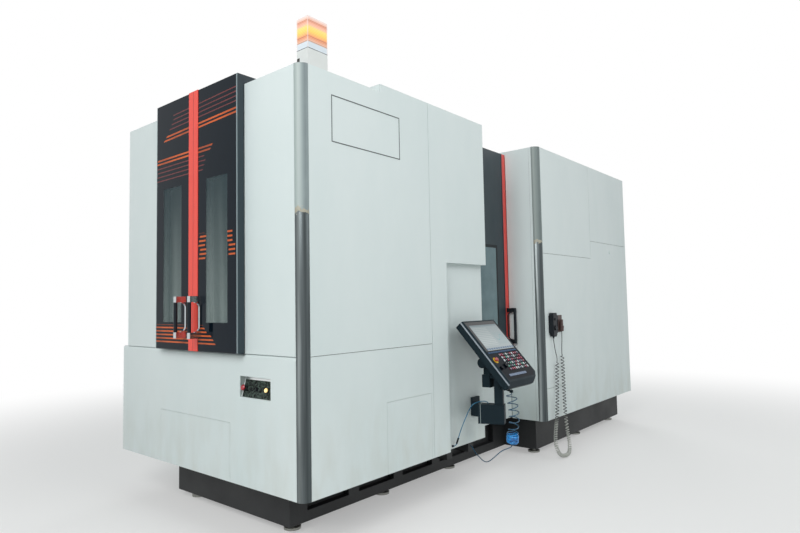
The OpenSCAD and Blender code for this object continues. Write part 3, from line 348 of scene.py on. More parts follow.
# %% [markdown]
# ## Plain metals
# Ground steel (pallets, table, spindle), zinc-plated feet and the painted castings share one recipe: a
# metal or a paint, a directional or a cast grain, and a slow variation of the gloss from oil and dust.
# The grain's scale counts grains in a metre: a casting's skin is drawn at 14 mm and a galvanised sheet's
# spangle at 70 mm, both a little larger than real ones, so that they show from outside the doors.

# %% Steels and castings
def worked_metal(name, light, dark, metallic, rough, grain_scale, bump_mm, stretch=(1, 1, 1)):
    """Two tones mixed by a grain noise; gloss varies slowly; the same grain drives the bump."""
    material, tree, shader = blank_material(name)
    spot = place_of(tree)[0]
    run = add(tree, "Mapping", {"Vector": spot, "Scale": stretch})
    grain = add(tree, "TexNoise", {"Vector": run, "Scale": grain_scale, "Detail": 6, "Roughness": 0.6})
    slow = add(tree, "TexNoise", {"Vector": spot, "Scale": 2.2, "Detail": 3})
    wire(shader, {"Base Color": layered(tree, dark, (grain, light)), "Metallic": metallic,
                  "Roughness": add(tree, "MapRange", [slow, 0.3, 0.7, rough - 0.07, rough + 0.1]),
                  "Normal": add(tree, "Bump", {"Height": grain, "Strength": 0.3, "Distance": bump_mm / 1000})})
    return material


ground_steel = worked_metal("ground_tool_steel", "#B5B6B4", "#8E8F8E", 1.0, 0.32, 60, 0.1, (1, 14, 1))
zinc_plate = worked_metal("zinc_plated_steel", "#A9AAA4", "#7E807C", 1.0, 0.42, 90, 0.2)
bed_paint = worked_metal("foundry_paint_black", "#1D2022", "#0D0F10", 0.0, 0.55, 70, 0.8)
slide_paint = worked_metal("foundry_paint_grey", "#7D8587", "#666E70", 0.0, 0.5, 70, 0.8)
sheet_inside = worked_metal("galvanised_sheet", "#9FA5A5", "#888F90", 0.6, 0.45, 14, 0.1)
print("metals made")

# %% [markdown]
# ## Plastics and rubber
# Handles and the hand control are moulded ABS with a spark-eroded grain of about 1 mm, which breaks up
# their shine. Push buttons are pressed urea resin, hard and glossy, and the beacon's foot is white
# polycarbonate. Hoses are glossy polyurethane; the coiled cord has a dusty PVC sleeve and its leads are
# matt rubber. Dark finishes reflect only a little, or the pale studio's mirror would wash out their depth.

# %% Plastics
def moulded(name, colour, second, rough, grain_mm=1.0, coat=0.0):
    """A plastic: two close tones in slow clouds, and a moulded grain of a given size as bump."""
    material, tree, shader = blank_material(name)
    spot = place_of(tree)[0]
    clouds = add(tree, "TexNoise", {"Vector": spot, "Scale": 14, "Detail": 4})
    grain = add(tree, "TexNoise", {"Vector": spot, "Scale": 1000 / grain_mm / 2, "Detail": 2})
    wire(shader, {"Base Color": layered(tree, colour, (clouds, second)), "Coat Weight": coat,
                  "Roughness": add(tree, "MapRange", [clouds, 0.3, 0.7, rough - 0.05, rough + 0.06]),
                  "Normal": add(tree, "Bump", {"Height": grain, "Strength": 0.15, "Distance": 0.0004})})
    return material


abs_black = moulded("abs_black_moulded", "#17181A", "#222427", 0.45)
abs_white = moulded("polycarbonate_white", "#D9DCDA", "#CDD1CE", 0.4)
button_red = moulded("urea_red_gloss", "#A81D2A", "#8F1722", 0.25, 3.0, 0.3)
hose_pu = moulded("polyurethane_hose_blue", "#135A78", "#1A6C8E", 0.28, 2.0, 0.2)
cord_pvc = moulded("pvc_sleeve_grey", "#9C9F98", "#CDCFC8", 0.6, 2.0)
lead_black = moulded("rubber_lead_black", "#141516", "#1E1F20", 0.6, 2.0)
for dark_finish, level in ((abs_black, 0.25), (console_coat, 0.13)):
    wire(shader_of(dark_finish), {"Specular IOR Level": level, "Specular Tint": "#B4CCDE"})
print("plastics made")

# %% [markdown]
# ## Surfaces from arrays
# Every added piece is worked out as an array: a path of points, a ring of directions around each, and
# faces that join neighbouring rings. A bevelled curve would make a tube too, but arrays say exactly where
# each point lies, and give the hose's measured length for nothing. `mesh_piece` puts such arrays into a
# mesh and rides it on a body.

# %% Mesh helpers
def mesh_piece(name, points, faces, material, body, smooth=True):
    """Makes an object at the origin from points in metres and faces; rides it on a body."""
    mesh = bpy.data.meshes.new(name)
    mesh.from_pydata(np.asarray(points, float).tolist(), [], [list(map(int, f)) for f in faces])
    mesh.polygons.foreach_set("use_smooth", np.full(len(mesh.polygons), smooth))
    mesh.materials.append(material)
    mesh.update()
    made = bpy.data.objects.new(name, mesh)
    bpy.context.scene.collection.objects.link(made)
    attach(made, body)
    return made


def grid_faces(rows, columns):
    """Quads that join point (i, j) to (i+1, j+1) on a grid stored row by row and closed across."""
    i, j = np.meshgrid(np.arange(rows - 1), np.arange(columns), indexing="ij")
    k = (j + 1) % columns
    quads = [i * columns + j, i * columns + k, (i + 1) * columns + k, (i + 1) * columns + j]
    return np.stack(quads, -1).reshape(-1, 4)


def unit(v):
    """Each row divided by its own length."""
    return v / np.linalg.norm(v, axis=-1, keepdims=True)


print("two rings of eight points are joined by", len(grid_faces(2, 8)), "quads")

# %% Routes and tubes
def smooth_route(points, steps):
    """Catmull-Rom curve: each span blends its four neighbours with cubic weights, steps points a span."""
    p = np.asarray(points, float)
    p = np.vstack([p[:1], p, p[-1:]])
    t = np.linspace(0, 1, steps, endpoint=False)[None, :, None]
    a, b, c, d = (p[k:len(p) - 3 + k, None, :] for k in range(4))
    q = 0.5 * (2 * b + (c - a) * t + (2 * a - 5 * b + 4 * c - d) * t ** 2 + (3 * b - a - 3 * c + d) * t ** 3)
    return np.vstack([q.reshape(-1, 3), p[-1:]])


def evenly(path, step):
    """The same path with its points one step apart, by straight interpolation along its length."""
    run = np.concatenate([[0], np.cumsum(np.linalg.norm(np.diff(path, axis=0), axis=1))])
    s = np.linspace(0, run[-1], max(2, int(round(run[-1] / step)) + 1))
    return np.stack([np.interp(s, run, path[:, k]) for k in range(3)], 1), s


def tube_mesh(path, normal, radius, sides=8):
    """Rings of points around a path: centre + radius * (cos a * normal + sin a * (tangent x normal)), with a
    fan on either end."""
    tangent = unit(np.gradient(path, axis=0))
    side = unit(np.cross(tangent, normal))
    normal = np.cross(side, tangent)
    a = np.linspace(0, 2 * np.pi, sides, endpoint=False)[None, :, None]
    rings = path[:, None] + radius * (np.cos(a) * normal[:, None] + np.sin(a) * side[:, None])
    points = np.vstack([rings.reshape(-1, 3), path[:1], path[-1:]])
    faces = grid_faces(len(path), sides)[:, ::-1].tolist()
    last, n = (len(path) - 1) * sides, len(path) * sides
    faces += [[n, j, (j + 1) % sides] for j in range(sides)]
    faces += [[n + 1, last + (j + 1) % sides, last + j] for j in range(sides)]
    return points, faces


# %% [markdown]
# ## Coiled hoses
# A spiral hose is a helix whose axis is itself a curve. A Screw modifier winds a straight spring only,
# while these hang in bows and change their radius, so the winding is worked out along a smooth route
# through a few chosen points. One table says how far the hose winds out and another how far a turn
# advances. Where the radius is zero it is a plain lead, so one path makes spiral, bunch and lead in one go.

# %% Winding along a route
AXIS_STEP, SMOOTHINGS = 1.0, 12                 # mm, passes
TURN_POINTS, PLAIN_STEP = 14, 9.0               # points a turn; mm a point where the hose is plain


def wound(route_mm, across, coil_radius, pitch):
    """Winds a hose on a route: centre + R(s) * (cos q * u + sin q * v), where q grows by 2 pi each pitch.
    R and pitch are (distance, value) tables in millimetres; negative distances count from the route's end.
    Returns the path and its outward normals in mm."""
    axis, s = evenly(smooth_route(route_mm, 20), AXIS_STEP)
    for _ in range(SMOOTHINGS):
        axis[1:-1] = 0.25 * axis[:-2] + 0.5 * axis[1:-1] + 0.25 * axis[2:]

    def along(rows):
        return np.interp(s, [d if d >= 0 else s[-1] + d for d, _ in rows], [value for _, value in rows])

    radius, turn = along(coil_radius), along(pitch)
    largest = max(radius.max(), 1e-9)
    radius = radius * (3 - 2 * radius / largest) * radius / largest
    winding = (radius > 0.05) * 2 * np.pi / turn
    angle = np.concatenate([[0], np.cumsum(0.5 * (winding[1:] + winding[:-1]) * np.diff(s))])
    share = np.maximum(np.diff(angle) / (2 * np.pi) * TURN_POINTS, np.diff(s) / PLAIN_STEP)
    amount = np.concatenate([[0], np.cumsum(share)])
    at_s = np.append(np.interp(np.arange(0, amount[-1], 1.0), amount, s), s[-1])

    def pick(values):
        return np.interp(at_s, s, values)

    centre = np.stack([pick(axis[:, k]) for k in range(3)], 1)
    tangent = unit(np.stack([pick(np.gradient(axis[:, k])) for k in range(3)], 1))
    u = unit(np.cross(tangent, across))
    v = np.cross(tangent, u)
    q = pick(angle)[:, None]
    outward = np.cos(q) * u + np.sin(q) * v
    return centre + pick(radius)[:, None] * outward, outward


# %% One hose
HOSE_RADIUS = 4.0                               # mm, for hoses and cord alike


def hose(name, route, across, coil_radius, pitch, material, stands_for):
    """One continuous hose or cord: wound path and tube around it, in place of the solids it stands for."""
    path, outward = wound(route, across, coil_radius, pitch)
    path = at_all(path)
    made = mesh_piece(name, *tube_mesh(path, outward, HOSE_RADIUS / 1000), material, "base")
    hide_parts(*stands_for)


# %% [markdown]
# The air hose leaves its outlet under the console, winds down in a spiral of 76 mm, ends in a tight bunch
# and runs on as a lead to the bed. Its bunch is painted brighter than the spiral, with painted glints: a
# painted highlight where it catches the light.

# %% The bunch's painted highlight
BUNCH = (0.470, 0.558)                          # the bunch's lowest and highest point in metres
air_blue, tree, shader = copy_of(hose_pu, "polyurethane_hose_with_painted_highlight")
spot, x, y, z = place_of(tree)
painted_glints = add(tree, "TexNoise", {"Vector": spot, "Scale": 45.0, "Detail": 2})
painted_glints = add(tree, "MapRange", [painted_glints, 0.42, 0.58])
# Painted highlight: the bunch in lighter blues with painted glints, the rest of the hose darker.
wire(shader, {"Base Color": layered(tree, "#0F4763", (between(tree, z, *BUNCH, 0.01),
                                                      layered(tree, "#0E5D9E", (painted_glints, "#2493DA"))))})
print(air_blue.name, "made")

# %% Air hose: spiral, bunch and lead
air_route = [(462, 1920, 904.7), (462, 1920, 890), (462, 1920, 870), (472, 1922, 800), (480, 1927, 700),
             (466, 1931, 610), (460, 1931, 560), (455, 1932, 540), (454, 1932, 500), (450, 1932, 470),
             (436, 1928, 440), (360, 1898, 400), (200, 1925, 281), (30, 2042, 285), (-40, 2096, 302),
             (-74, 2116, 326), (-88, 2120, 338), (-99.7, 2120, 342)]
air_radius = [(0, 0), (4, 0), (22, 38), (345, 38), (366, 48), (400, 50), (424, 43), (458, 0)]
air_pitch = [(0, 50), (30, 58), (335, 58), (358, 9.8), (428, 9.8), (458, 30)]
hose("air_hose", air_route, (0, 1, 0), air_radius, air_pitch, air_blue,
     ["air_hose_spiral", "air_hose_bunch", "air_hose_lead"])

# %% [markdown]
# A second hose comes out of the wall through a gland, and rises over the arm's box to the console's post.
# It isn't wound, so its tables hold a radius of zero. A coupling joins it near the wall.

# %% Thin hose over the console's arm
post_route = [(-59.7, 1768, 412), (-48, 1769, 412), (-30, 1776, 420), (-18, 1790, 446), (-8, 1806, 507),
              (15, 1818, 579), (40, 1848, 664), (70, 1870, 739), (95, 1885, 776), (125, 1922, 794),
              (150, 1968, 797), (164, 2006, 787), (168, 2022, 771)]
hose("post_hose_tube", post_route, (1, 0, 0), [(0, 0), (1, 0)], [(0, 50), (1, 50)], hose_pu, ["post_hose"])


def sleeve(name, start, end, radius_mm, material):
    """A short straight tube between two points, such as a gland or a coupling on a hose."""
    path = at_all(np.linspace(start, end, 5))
    across = np.broadcast_to(unit(np.cross(path[-1] - path[0], (0.3, 0.2, 0.9))), path.shape)
    made = mesh_piece(name, *tube_mesh(path, across, radius_mm / 1000, 16), material, "base")


sleeve("hose_gland", (-60, 1767.5, 412), (-46, 1770, 412.5), 9, abs_black)
sleeve("hose_coupling", (-23, 1782, 434), (-12, 1798, 484), 8, abs_black)
print("gland and coupling made")

# %% [markdown]
# The hand control hangs on a coiled cord whose two ends are plain leads. Its sleeve is clean and black at
# the ends and grey with dust in the loop near the floor, so its tone changes with the height.

# %% The hand control's coiled cord
cord_dusty, tree, shader = copy_of(cord_pvc, "pvc_sleeve_dusty_below")
spot, x, y, z = place_of(tree)
clean = add(tree, "MapRange", [z, 0.34, 0.44])
wire(shader, {"Base Color": layered(tree, fed_by(shader, "Base Color"), (clean, "#15181A"))})

cord_route = [(120, 3485, 1265), (120, 3487, 1230), (120, 3515, 1130), (121, 3545, 1060), (122, 3548, 1000),
              (126, 3526, 800), (132, 3500, 600), (141, 3464, 440), (156, 3398, 335), (178, 3330, 220),
              (203, 3300, 128), (226, 3335, 56), (238, 3435, 32), (234, 3530, 46), (214, 3592, 120),
              (184, 3618, 240), (160, 3640, 380), (140, 3664, 540), (130, 3678, 760), (124, 3680, 1000),
              (122, 3676, 1080), (121, 3680, 1150), (119, 3696, 1250), (118, 3700, 1335)]
cord_radius = [(0, 0), (265, 0), (300, 17), (-290, 17), (-255, 0)]
cord_pitch = [(0, 38), (265, 38), (830, 34), (930, 19), (1680, 19), (1800, 34), (-255, 38)]
hose("handset_cord", cord_route, (1, 0, 0), cord_radius, cord_pitch, cord_dusty,
     ["handset_cord_leads", "handset_cord_coil"])

# %% [markdown]
# ## Glass with a printed back
# Each station leaf is faced with one sheet of safety glass. It is printed black on the back, except for
# a tall window, and carries flat orange lines. The lines here are a plain design of their own: slanting
# bundles with stepped ends. An image of them would need many pixels for such thin lines; `between` draws
# each band from the metres across and up the door, and stays sharp at any distance.

# %% Where the door's window is
DOOR_MIDDLE = at_x(-1216)
WINDOW_ACROSS, WINDOW_UP = (0.180, 0.463), (1.565, 2.680)
door_glass, tree, shader = blank_material("printed_safety_glass")
spot, x, y, z = place_of(tree)
across = add(tree, "Math SUBTRACT", [x, DOOR_MIDDLE])
off_middle = add(tree, "Math ABSOLUTE", [across])
window = all_of(tree, between(tree, off_middle, *WINDOW_ACROSS, 0.0006), between(tree, z, *WINDOW_UP, 0.0006))
print("windows", [round(w - g, 3) for w, g in zip(WINDOW_ACROSS[1:] + WINDOW_UP[1:], WINDOW_ACROSS + WINDOW_UP[:1])])


# %% Bundles of printed lines
def line_bundle(slope, low, high, left, right_end, pitch, width, lean):
    """A bundle of parallel lines: the height above a sloping base line is cut into stripes of one pitch,
    and the bundle's ends lean by a share of that height, with a small step after every third line."""
    height = add(tree, "Math SUBTRACT", [z, add(tree, "Math MULTIPLY_ADD", [across, slope, low])])
    phase = add(tree, "Math MODULO", [add(tree, "Math ADD", [height, 10 * pitch]), pitch])
    thirds = add(tree, "Math FLOOR", [add(tree, "Math DIVIDE", [height, 3 * pitch])])
    shifted = add(tree, "Math MULTIPLY_ADD", [height, -lean, across])
    ends = between(tree, add(tree, "Math ADD", [shifted, all_of(tree, thirds, 0.035)]), left, right_end)
    return all_of(tree, between(tree, height, 0.0, high - low), between(tree, phase, 0.0, width), ends)


beside_window = add(tree, "Math SUBTRACT", [1.0, window])
lines = any_of(tree, line_bundle(0.03, 3.100, 3.155, -0.47, 0.60, 0.030, 0.014, 1.3),
               line_bundle(0.0, 2.900, 2.958, -0.60, 0.23, 0.030, 0.014, 0.9),
               line_bundle(0.0, 2.065, 2.255, 0.480, 0.562, 0.034, 0.014, 0.0),
               line_bundle(0.0, 2.055, 2.260, 0.074, 0.166, 0.034, 0.014, 0.3),
               line_bundle(0.0, 1.398, 1.545, -0.75, 0.31, 0.029, 0.012, -0.96))
faint = any_of(tree, line_bundle(0.03, 3.185, 3.320, -0.38, 0.60, 0.036, 0.009, 0.9),
               line_bundle(0.0, 2.755, 2.890, -0.60, 0.13, 0.036, 0.009, 0.5))
print("seven bundles of lines drawn")

# %% Print, trim, panes and the windows' painted light
fade = add(tree, "MapRange", [add(tree, "TexNoise", {"Vector": spot, "Scale": 3.0}), 0.4, 0.6])
printed = layered(tree, "#0A131B", (all_of(tree, lines, beside_window), layered(tree, "#CE5F2C", (fade, "#A24A28"))),
                  (all_of(tree, faint, beside_window), "#6E3636"),
                  (add(tree, "Math GREATER_THAN", [off_middle, 0.5775]), "#8B989B"))
# In the windows, pale upright bars are painted light and the darkening towards the top is painted shade.
upright = add(tree, "Mapping", {"Vector": spot, "Scale": (9, 9, 0.25)})
painted_light_bars = add(tree, "MapRange", [add(tree, "TexNoise", {"Vector": upright, "Scale": 1.0, "Detail": 1}), 0.35, 0.65])
painted_shade_above = add(tree, "MapRange", [z, 1.7, 2.6, 0.0, 0.85])
window_view_with_painted_light = layered(tree, "#6F7F7E", (painted_light_bars, "#9BA9A6"), (painted_shade_above, "#3B4D53"))
dust = add(tree, "TexNoise", {"Vector": spot, "Scale": 4.0, "Detail": 5})
wire(shader, {"Base Color": layered(tree, printed, (window, window_view_with_painted_light)),
              "Alpha": add(tree, "Math MULTIPLY_ADD", [window, -0.62, 1.0]),
              "Roughness": add(tree, "MapRange", [dust, 0.35, 0.8, 0.04, 0.16]),
              "Specular IOR Level": 0.13, "Specular Tint": "#B4D2EA"})
print("door glass made")

# %% [markdown]
# The machining area's door has plain tinted glass, grey with the mist that coolant leaves inside. It lets
# only a fifth of the light through, so the dark working space behind it hardly shows.

# %% Tinted glass
side_glass, tree, shader = blank_material("tinted_safety_glass")
mist = add(tree, "TexNoise", {"Vector": place_of(tree)[0], "Scale": 6.0, "Detail": 5})
wire(shader, {"Base Color": layered(tree, "#60757A", (mist, "#839BA0")), "Alpha": 0.82,
              "Roughness": add(tree, "MapRange", [mist, 0.3, 0.7, 0.06, 0.22])})
print("tinted glass made")

# %% [markdown]
# ## The lit beacon
# The beacon is a ribbed clear box on a pale foot, with a stack of lit amber louvres in it. Light scatters
# in the plastic. Following every scattered ray would take long and leave noise, so the lens itself takes
# the louvres' tones from the bottom to the top and glows a little. Its ribs and cut edges are painted
# paler, painted highlights where they would gather light, and a dark joint closes its foot.

# %% Lens tones and edges
LENS_FOOT, JOINT_TOP, RIM_Z = (3.40, 3.512), 3.4692, 3.686
lens_clear, tree, shader = blank_material("polycarbonate_lens_clear")
spot, x, y, z = place_of(tree)
ribs = add(tree, "TexWave", {"Vector": spot, "Scale": 30.0}, bands_direction="Z")
tints = add(tree, "ValToRGB", [add(tree, "MapRange", [z, 3.512, 3.694])],
            stops=[(0.0, "#8E563A"), (0.05, "#E6B79D"), (0.15, "#DC9468"), (0.22, "#B4683C"), (0.27, "#F3A65A"),
                   (0.42, "#FFCF46"), (0.58, "#FFDC6E"), (0.66, "#F2BE9C"), (0.75, "#E5A68B"), (0.83, "#C4784F"),
                   (0.88, "#E9BCA9"), (1.0, "#EEE2DF")])
pale_foot = between(tree, z, *LENS_FOOT, 0.002)
near_edge = all_of(tree, add(tree, "Math GREATER_THAN", [x, at_x(-6)]), add(tree, "Math LESS_THAN", [y, at_y(76)]))
rim = any_of(tree, near_edge, add(tree, "Math LESS_THAN", [x, at_x(-108)]),
             add(tree, "Math GREATER_THAN", [y, at_y(248)]), add(tree, "Math GREATER_THAN", [z, RIM_Z]))
print("lens edges marked")

# %% Lens finish
# Painted highlights: paler ribs and a paler rim on the clear lens; the dark joint is its own colour.
wire(shader, {"Base Color": layered(tree, tints, (all_of(tree, ribs, 0.35), "#FFF2E4"), (pale_foot, "#D6DFE6"),
                                    (all_of(tree, rim, 0.6), "#EFE4E1"),
                                    (add(tree, "Math LESS_THAN", [z, JOINT_TOP]), "#23282A")),
              "Emission Color": layered(tree, tints, (pale_foot, "#000000")), "Emission Strength": 0.12,
              "Roughness": 0.12, "Alpha": add(tree, "Math MULTIPLY_ADD", [pale_foot, 0.25, 0.75])})
print("lens finish made")

# %% Amber louvres and the lit button
lamp_amber, tree, shader = blank_material("acrylic_amber_lit")
spot, x, y, z = place_of(tree)
glow = add(tree, "ValToRGB", [add(tree, "MapRange", [z, 3.50, 3.692])],
           stops=[(0.0, "#B5653C"), (0.14, "#D98255"), (0.22, "#F6A45C"), (0.36, "#FFC14A"), (0.52, "#FFDA55"),
                  (0.63, "#FFC777"), (0.70, "#F4B9A0"), (0.80, "#E39A72"), (0.88, "#F0B090"), (1.0, "#D9A08A")])
wire(shader, {"Base Color": glow, "Emission Color": glow, "Emission Strength": 0.75, "Roughness": 0.4})

button_lit, tree, shader = blank_material("acrylic_button_lit")
warm = add(tree, "TexNoise", {"Vector": place_of(tree)[0], "Scale": 40.0})
wire(shader, {"Base Color": layered(tree, "#FFD98A", (warm, "#FFF0C0")),
              "Emission Color": layered(tree, "#FFC55A", (warm, "#FFE9A8")), "Emission Strength": 0.6})
print("lamps made")

# %% [markdown]
# ## Two materials in one piece
# A door leaf is one solid in the CAD frame, though its meeting edge is faced with a red enamelled strip.
# A second material slot would need its mesh to be cut up. Pieces keep their own coordinates, so the strip
# is painted where it stands proud of the glass instead. Each zone below is a small function that answers
# 1 inside and 0 outside.

# %% Painted zones
def zoned(name, base, zone_of, colour, second, rough, metallic=0.0, tone_scale=5.0, spread=0.5):
    """Copies a finish and lays two mottled colours over the part of it that zone_of marks with 1. The
    mottling's noise goes from the one to the other within the spread around one half."""
    material, tree, shader = copy_of(base, name)
    spot, x, y, z = place_of(tree)
    zone = zone_of(tree, x, y, z)
    tint = add(tree, "TexNoise", {"Vector": spot, "Scale": tone_scale, "Detail": 3})
    tint = add(tree, "MapRange", [tint, 0.5 - spread, 0.5 + spread])
    mottled = layered(tree, colour, (tint, second))
    wire(shader, {"Base Color": layered(tree, fed_by(shader, "Base Color"), (zone, mottled)),
                  "Roughness": add(tree, "Mix", {0: zone, 2: fed_by(shader, "Roughness"), 3: rough})})
    if metallic or shader.inputs["Metallic"].links:
        wire(shader, {"Metallic": add(tree, "Mix", {0: zone, 2: fed_by(shader, "Metallic"), 3: metallic})})
    return material


# %% Zones on the doors
def meeting_strip(tree, x, y, z):
    """The leaves' raised strips, in front of the glass and apart from the 1.6 mm of dark gap each side."""
    off_gap = add(tree, "Math ABSOLUTE", [add(tree, "Math SUBTRACT", [x, DOOR_MIDDLE])])
    return all_of(tree, add(tree, "Math LESS_THAN", [y, at_y(-64.5)]),
                  add(tree, "Math GREATER_THAN", [off_gap, 0.0016]))


def side_strip(tree, x, y, z):
    """The strip along the machining door's free edge."""
    return all_of(tree, add(tree, "Math GREATER_THAN", [x, at_x(-310.6)]),
                  add(tree, "Math GREATER_THAN", [y, at_y(3208)]))


def door_apron(tree, x, y, z):
    """The machining door's lower part, up to its seam."""
    return add(tree, "Math LESS_THAN", [z, 1.002])


def window_gasket(tree, x, y, z):
    """The rubber profile along the machining window's free side and its top."""
    return any_of(tree, add(tree, "Math GREATER_THAN", [y, at_y(3034)]), add(tree, "Math GREATER_THAN", [z, 2.267]))


leaf_coat = zoned("slate_coat_with_red_enamel", frame_coat, meeting_strip, "#EC4434", "#E23E2E", 0.25)
side_door_coat = zoned("slate_coat_with_red_edge", frame_coat, side_strip, "#D6433C", "#BC3A34", 0.3)
side_door_coat = zoned("slate_red_and_white_coats", side_door_coat, door_apron, "#CDD5D4", "#C4CDCC", 0.42)
gasket_glass = zoned("tinted_glass_in_rubber_gasket", side_glass, window_gasket, "#10171A", "#1C2428", 0.5)
print("door coats made")


# %% Zones on the beacon, the side cover and the hand control
def gland_corner(tree, x, y, z):
    """The dark cable gland in the near corner of the beacon's foot."""
    return all_of(tree, add(tree, "Math LESS_THAN", [x, at_x(-86)]), add(tree, "Math LESS_THAN", [z, 3.412]),
                  add(tree, "Math LESS_THAN", [y, at_y(110)]))


def raised_rim(tree, x, y, z):
    """The thin frame that stands out of the side cover, left empty inside."""
    return add(tree, "Math GREATER_THAN", [x, at_x(0.5)])


def bracket(tree, x, y, z):
    """The hand control's bracket: all that lies behind its body."""
    return add(tree, "Math GREATER_THAN", [y, at_y(3662)])


beacon_coat = zoned("polycarbonate_white_with_gland", abs_white, gland_corner, "#1C1E1C", "#3A3B36", 0.5)
framed_coat = zoned("powder_coat_white_with_dark_rim", cover_white, raised_rim, "#4E5456", "#5A6062", 0.4)
horn_coat = zoned("abs_black_and_worn_bracket", abs_black, bracket, "#3E1C1B", "#6A625E", 0.4)
print("beacon, rim and bracket coats made")

# %% [markdown]
# A D handle has a black moulded grip between two polished end blocks, and a polished bow behind. The grip
# is what lies farthest from the door between the blocks; all the rest is polished aluminium, whose low
# roughness lets it mirror the red strip next to it.

# %% Handle finish
HANDLE_UP, END_BLOCK, GRIP_REACH = (1.444, 1.770), 0.0462, 0.0765
front_handle, tree, shader = copy_of(abs_black, "abs_grip_on_polished_aluminium")
spot, x, y, z = place_of(tree)
reach = add(tree, "Math SUBTRACT", [at_y(-70), y])
grip = all_of(tree, add(tree, "Math GREATER_THAN", [reach, GRIP_REACH]),
              between(tree, z, HANDLE_UP[0] + END_BLOCK, HANDLE_UP[1] - END_BLOCK, 0.0001))
metal = add(tree, "Math SUBTRACT", [1.0, grip])
wire(shader, {"Base Color": layered(tree, fed_by(shader, "Base Color"), (metal, "#C4C7C8")), "Metallic": metal,
              "Roughness": add(tree, "Mix", {0: metal, 2: fed_by(shader, "Roughness"), 3: 0.2})})
print(front_handle.name, "made")

# %% [markdown]
# The control recess is a tray painted grey, painted shade inside the recess, with a dark, mottled plate
# set slanting in it, inside a bright metal rim. The plate's plane passes through one known point at 15
# degrees, so the distance from that plane tells plate from tray. The collars of the push buttons stand out
# of it and are blacker than the plate.

# %% The recess's slanting plate
SLANT = math.radians(15)
PLATE_MID = np.array(at(-520, 34, 1101))
PLATE_OUT = np.array([0, -math.cos(SLANT), math.sin(SLANT)])
PLATE_UP = np.array([0, math.sin(SLANT), math.cos(SLANT)])


def above_plane(tree, point, direction):
    """Distance of the shaded spot from a plane: dot(spot - point, direction)."""
    away = add(tree, "VectorMath SUBTRACT", [place_of(tree)[0], point.tolist()])
    return add(tree, "VectorMath DOT_PRODUCT", [away, direction.tolist()])


def plate_surface(tree, x, y, z):
    """The whole slanted surface, its bright rim included, within a millimetre."""
    return between(tree, above_plane(tree, PLATE_MID, PLATE_OUT), -0.001, 0.001, 0.0002)


def on_plate(tree, x, y, z):
    """The slanted plate inside its bright rim, with the collars and plain buttons on it."""
    return all_of(tree, between(tree, x, at_x(-689), at_x(-344.2), 0.0002),
                  add(tree, "Math LESS_THAN", [above_plane(tree, PLATE_MID, PLATE_UP), 0.050]),
                  between(tree, above_plane(tree, PLATE_MID, PLATE_OUT), -0.001, 0.02, 0.0002))


def on_collar(tree, x, y, z):
    """All that stands more than 2 mm out of the plate, between the tray's side walls."""
    return all_of(tree, between(tree, x, at_x(-695.5), at_x(-344.5), 0.0002),
                  between(tree, above_plane(tree, PLATE_MID, PLATE_OUT), 0.002, 0.02, 0.0002))


# The tray's grey base coat is painted shade; rim, plate and collars are their own colours.
tray_coat = zoned("painted_shade_coat_with_steel_rim", recess_painted_shade_coat, plate_surface, "#F4F6F6", "#EDF0F0", 0.3, 0.9)
tray_coat = zoned("painted_shade_coat_rim_and_mottled_plate", tray_coat, on_plate, "#020303", "#47544D", 0.6,
                  tone_scale=60.0, spread=0.1)
tray_coat = zoned("painted_shade_coat_rim_plate_and_collars", tray_coat, on_collar, "#08090A", "#343C3A", 0.4, tone_scale=25.0)
wire(shader_of(tray_coat), {"Specular IOR Level": 0.15})
print("recess finishes made")

# %% [markdown]
# ## The console's face
# The face is drawn in its own two directions: across, along the machine, and up the tilted plate. Dot
# products with the two unit vectors give those lengths from Object coordinates at any place on it.

# %% Console directions
TILT = math.radians(42.4)
FACE_UP = np.array([-math.sin(TILT), 0, math.cos(TILT)])
FACE_OUT = np.array([math.cos(TILT), 0, math.sin(TILT)])
FACE_MID = np.array(at(523 - 338 * math.sin(TILT), 2042, 1262))


def face_place(tree):
    """Metres across and up the console's face, from its middle."""
    away = add(tree, "VectorMath SUBTRACT", [place_of(tree)[0], FACE_MID.tolist()])
    return add(tree, "SeparateXYZ", [away]).outputs[1], add(tree, "VectorMath DOT_PRODUCT", [away, FACE_UP.tolist()])


def box_on(tree, u, v, left, right_end, low, high, soft=0.0004):
    """1 inside an upright box on the face: the product of a band across and a band up."""
    return all_of(tree, between(tree, u, left, right_end, soft), between(tree, v, low, high, soft))


print("console's face at", FACE_MID.round(3))

# %% [markdown]
# The display is a glossy glass front that lights up by itself, so the page goes into its emission and the
# base colour stays nearly black. It shows a plain pale page: a header, a table, a curve pane and a row of
# soft keys, drawn from bands and darkened towards its top by a painted dark reflection.

# %% What is on the page
ROW_STEP, SOFT_KEY_STEP = 0.0195, 0.039
screen_lit, tree, shader = blank_material("display_glass_lit")
u, v = face_place(tree)
table_pane = box_on(tree, u, v, -0.195, 0.035, 0.050, 0.255)
curve_pane = box_on(tree, u, v, 0.060, 0.230, 0.055, 0.190)
rows = all_of(tree, table_pane, between(tree, add(tree, "Math MODULO", [v, ROW_STEP]), 0.0, 0.004))
swing = add(tree, "Math SINE", [all_of(tree, u, 45.0)])
off_curve = add(tree, "Math SUBTRACT", [v, add(tree, "Math MULTIPLY_ADD", [swing, 0.03, 0.13])])
curve = all_of(tree, between(tree, off_curve, -0.002, 0.002), curve_pane)
key_phase = add(tree, "Math MODULO", [add(tree, "Math ADD", [u, 1.0]), SOFT_KEY_STEP])
soft_keys = all_of(tree, between(tree, v, 0.002, 0.022), between(tree, key_phase, 0.003, 0.036))
print("page laid out")

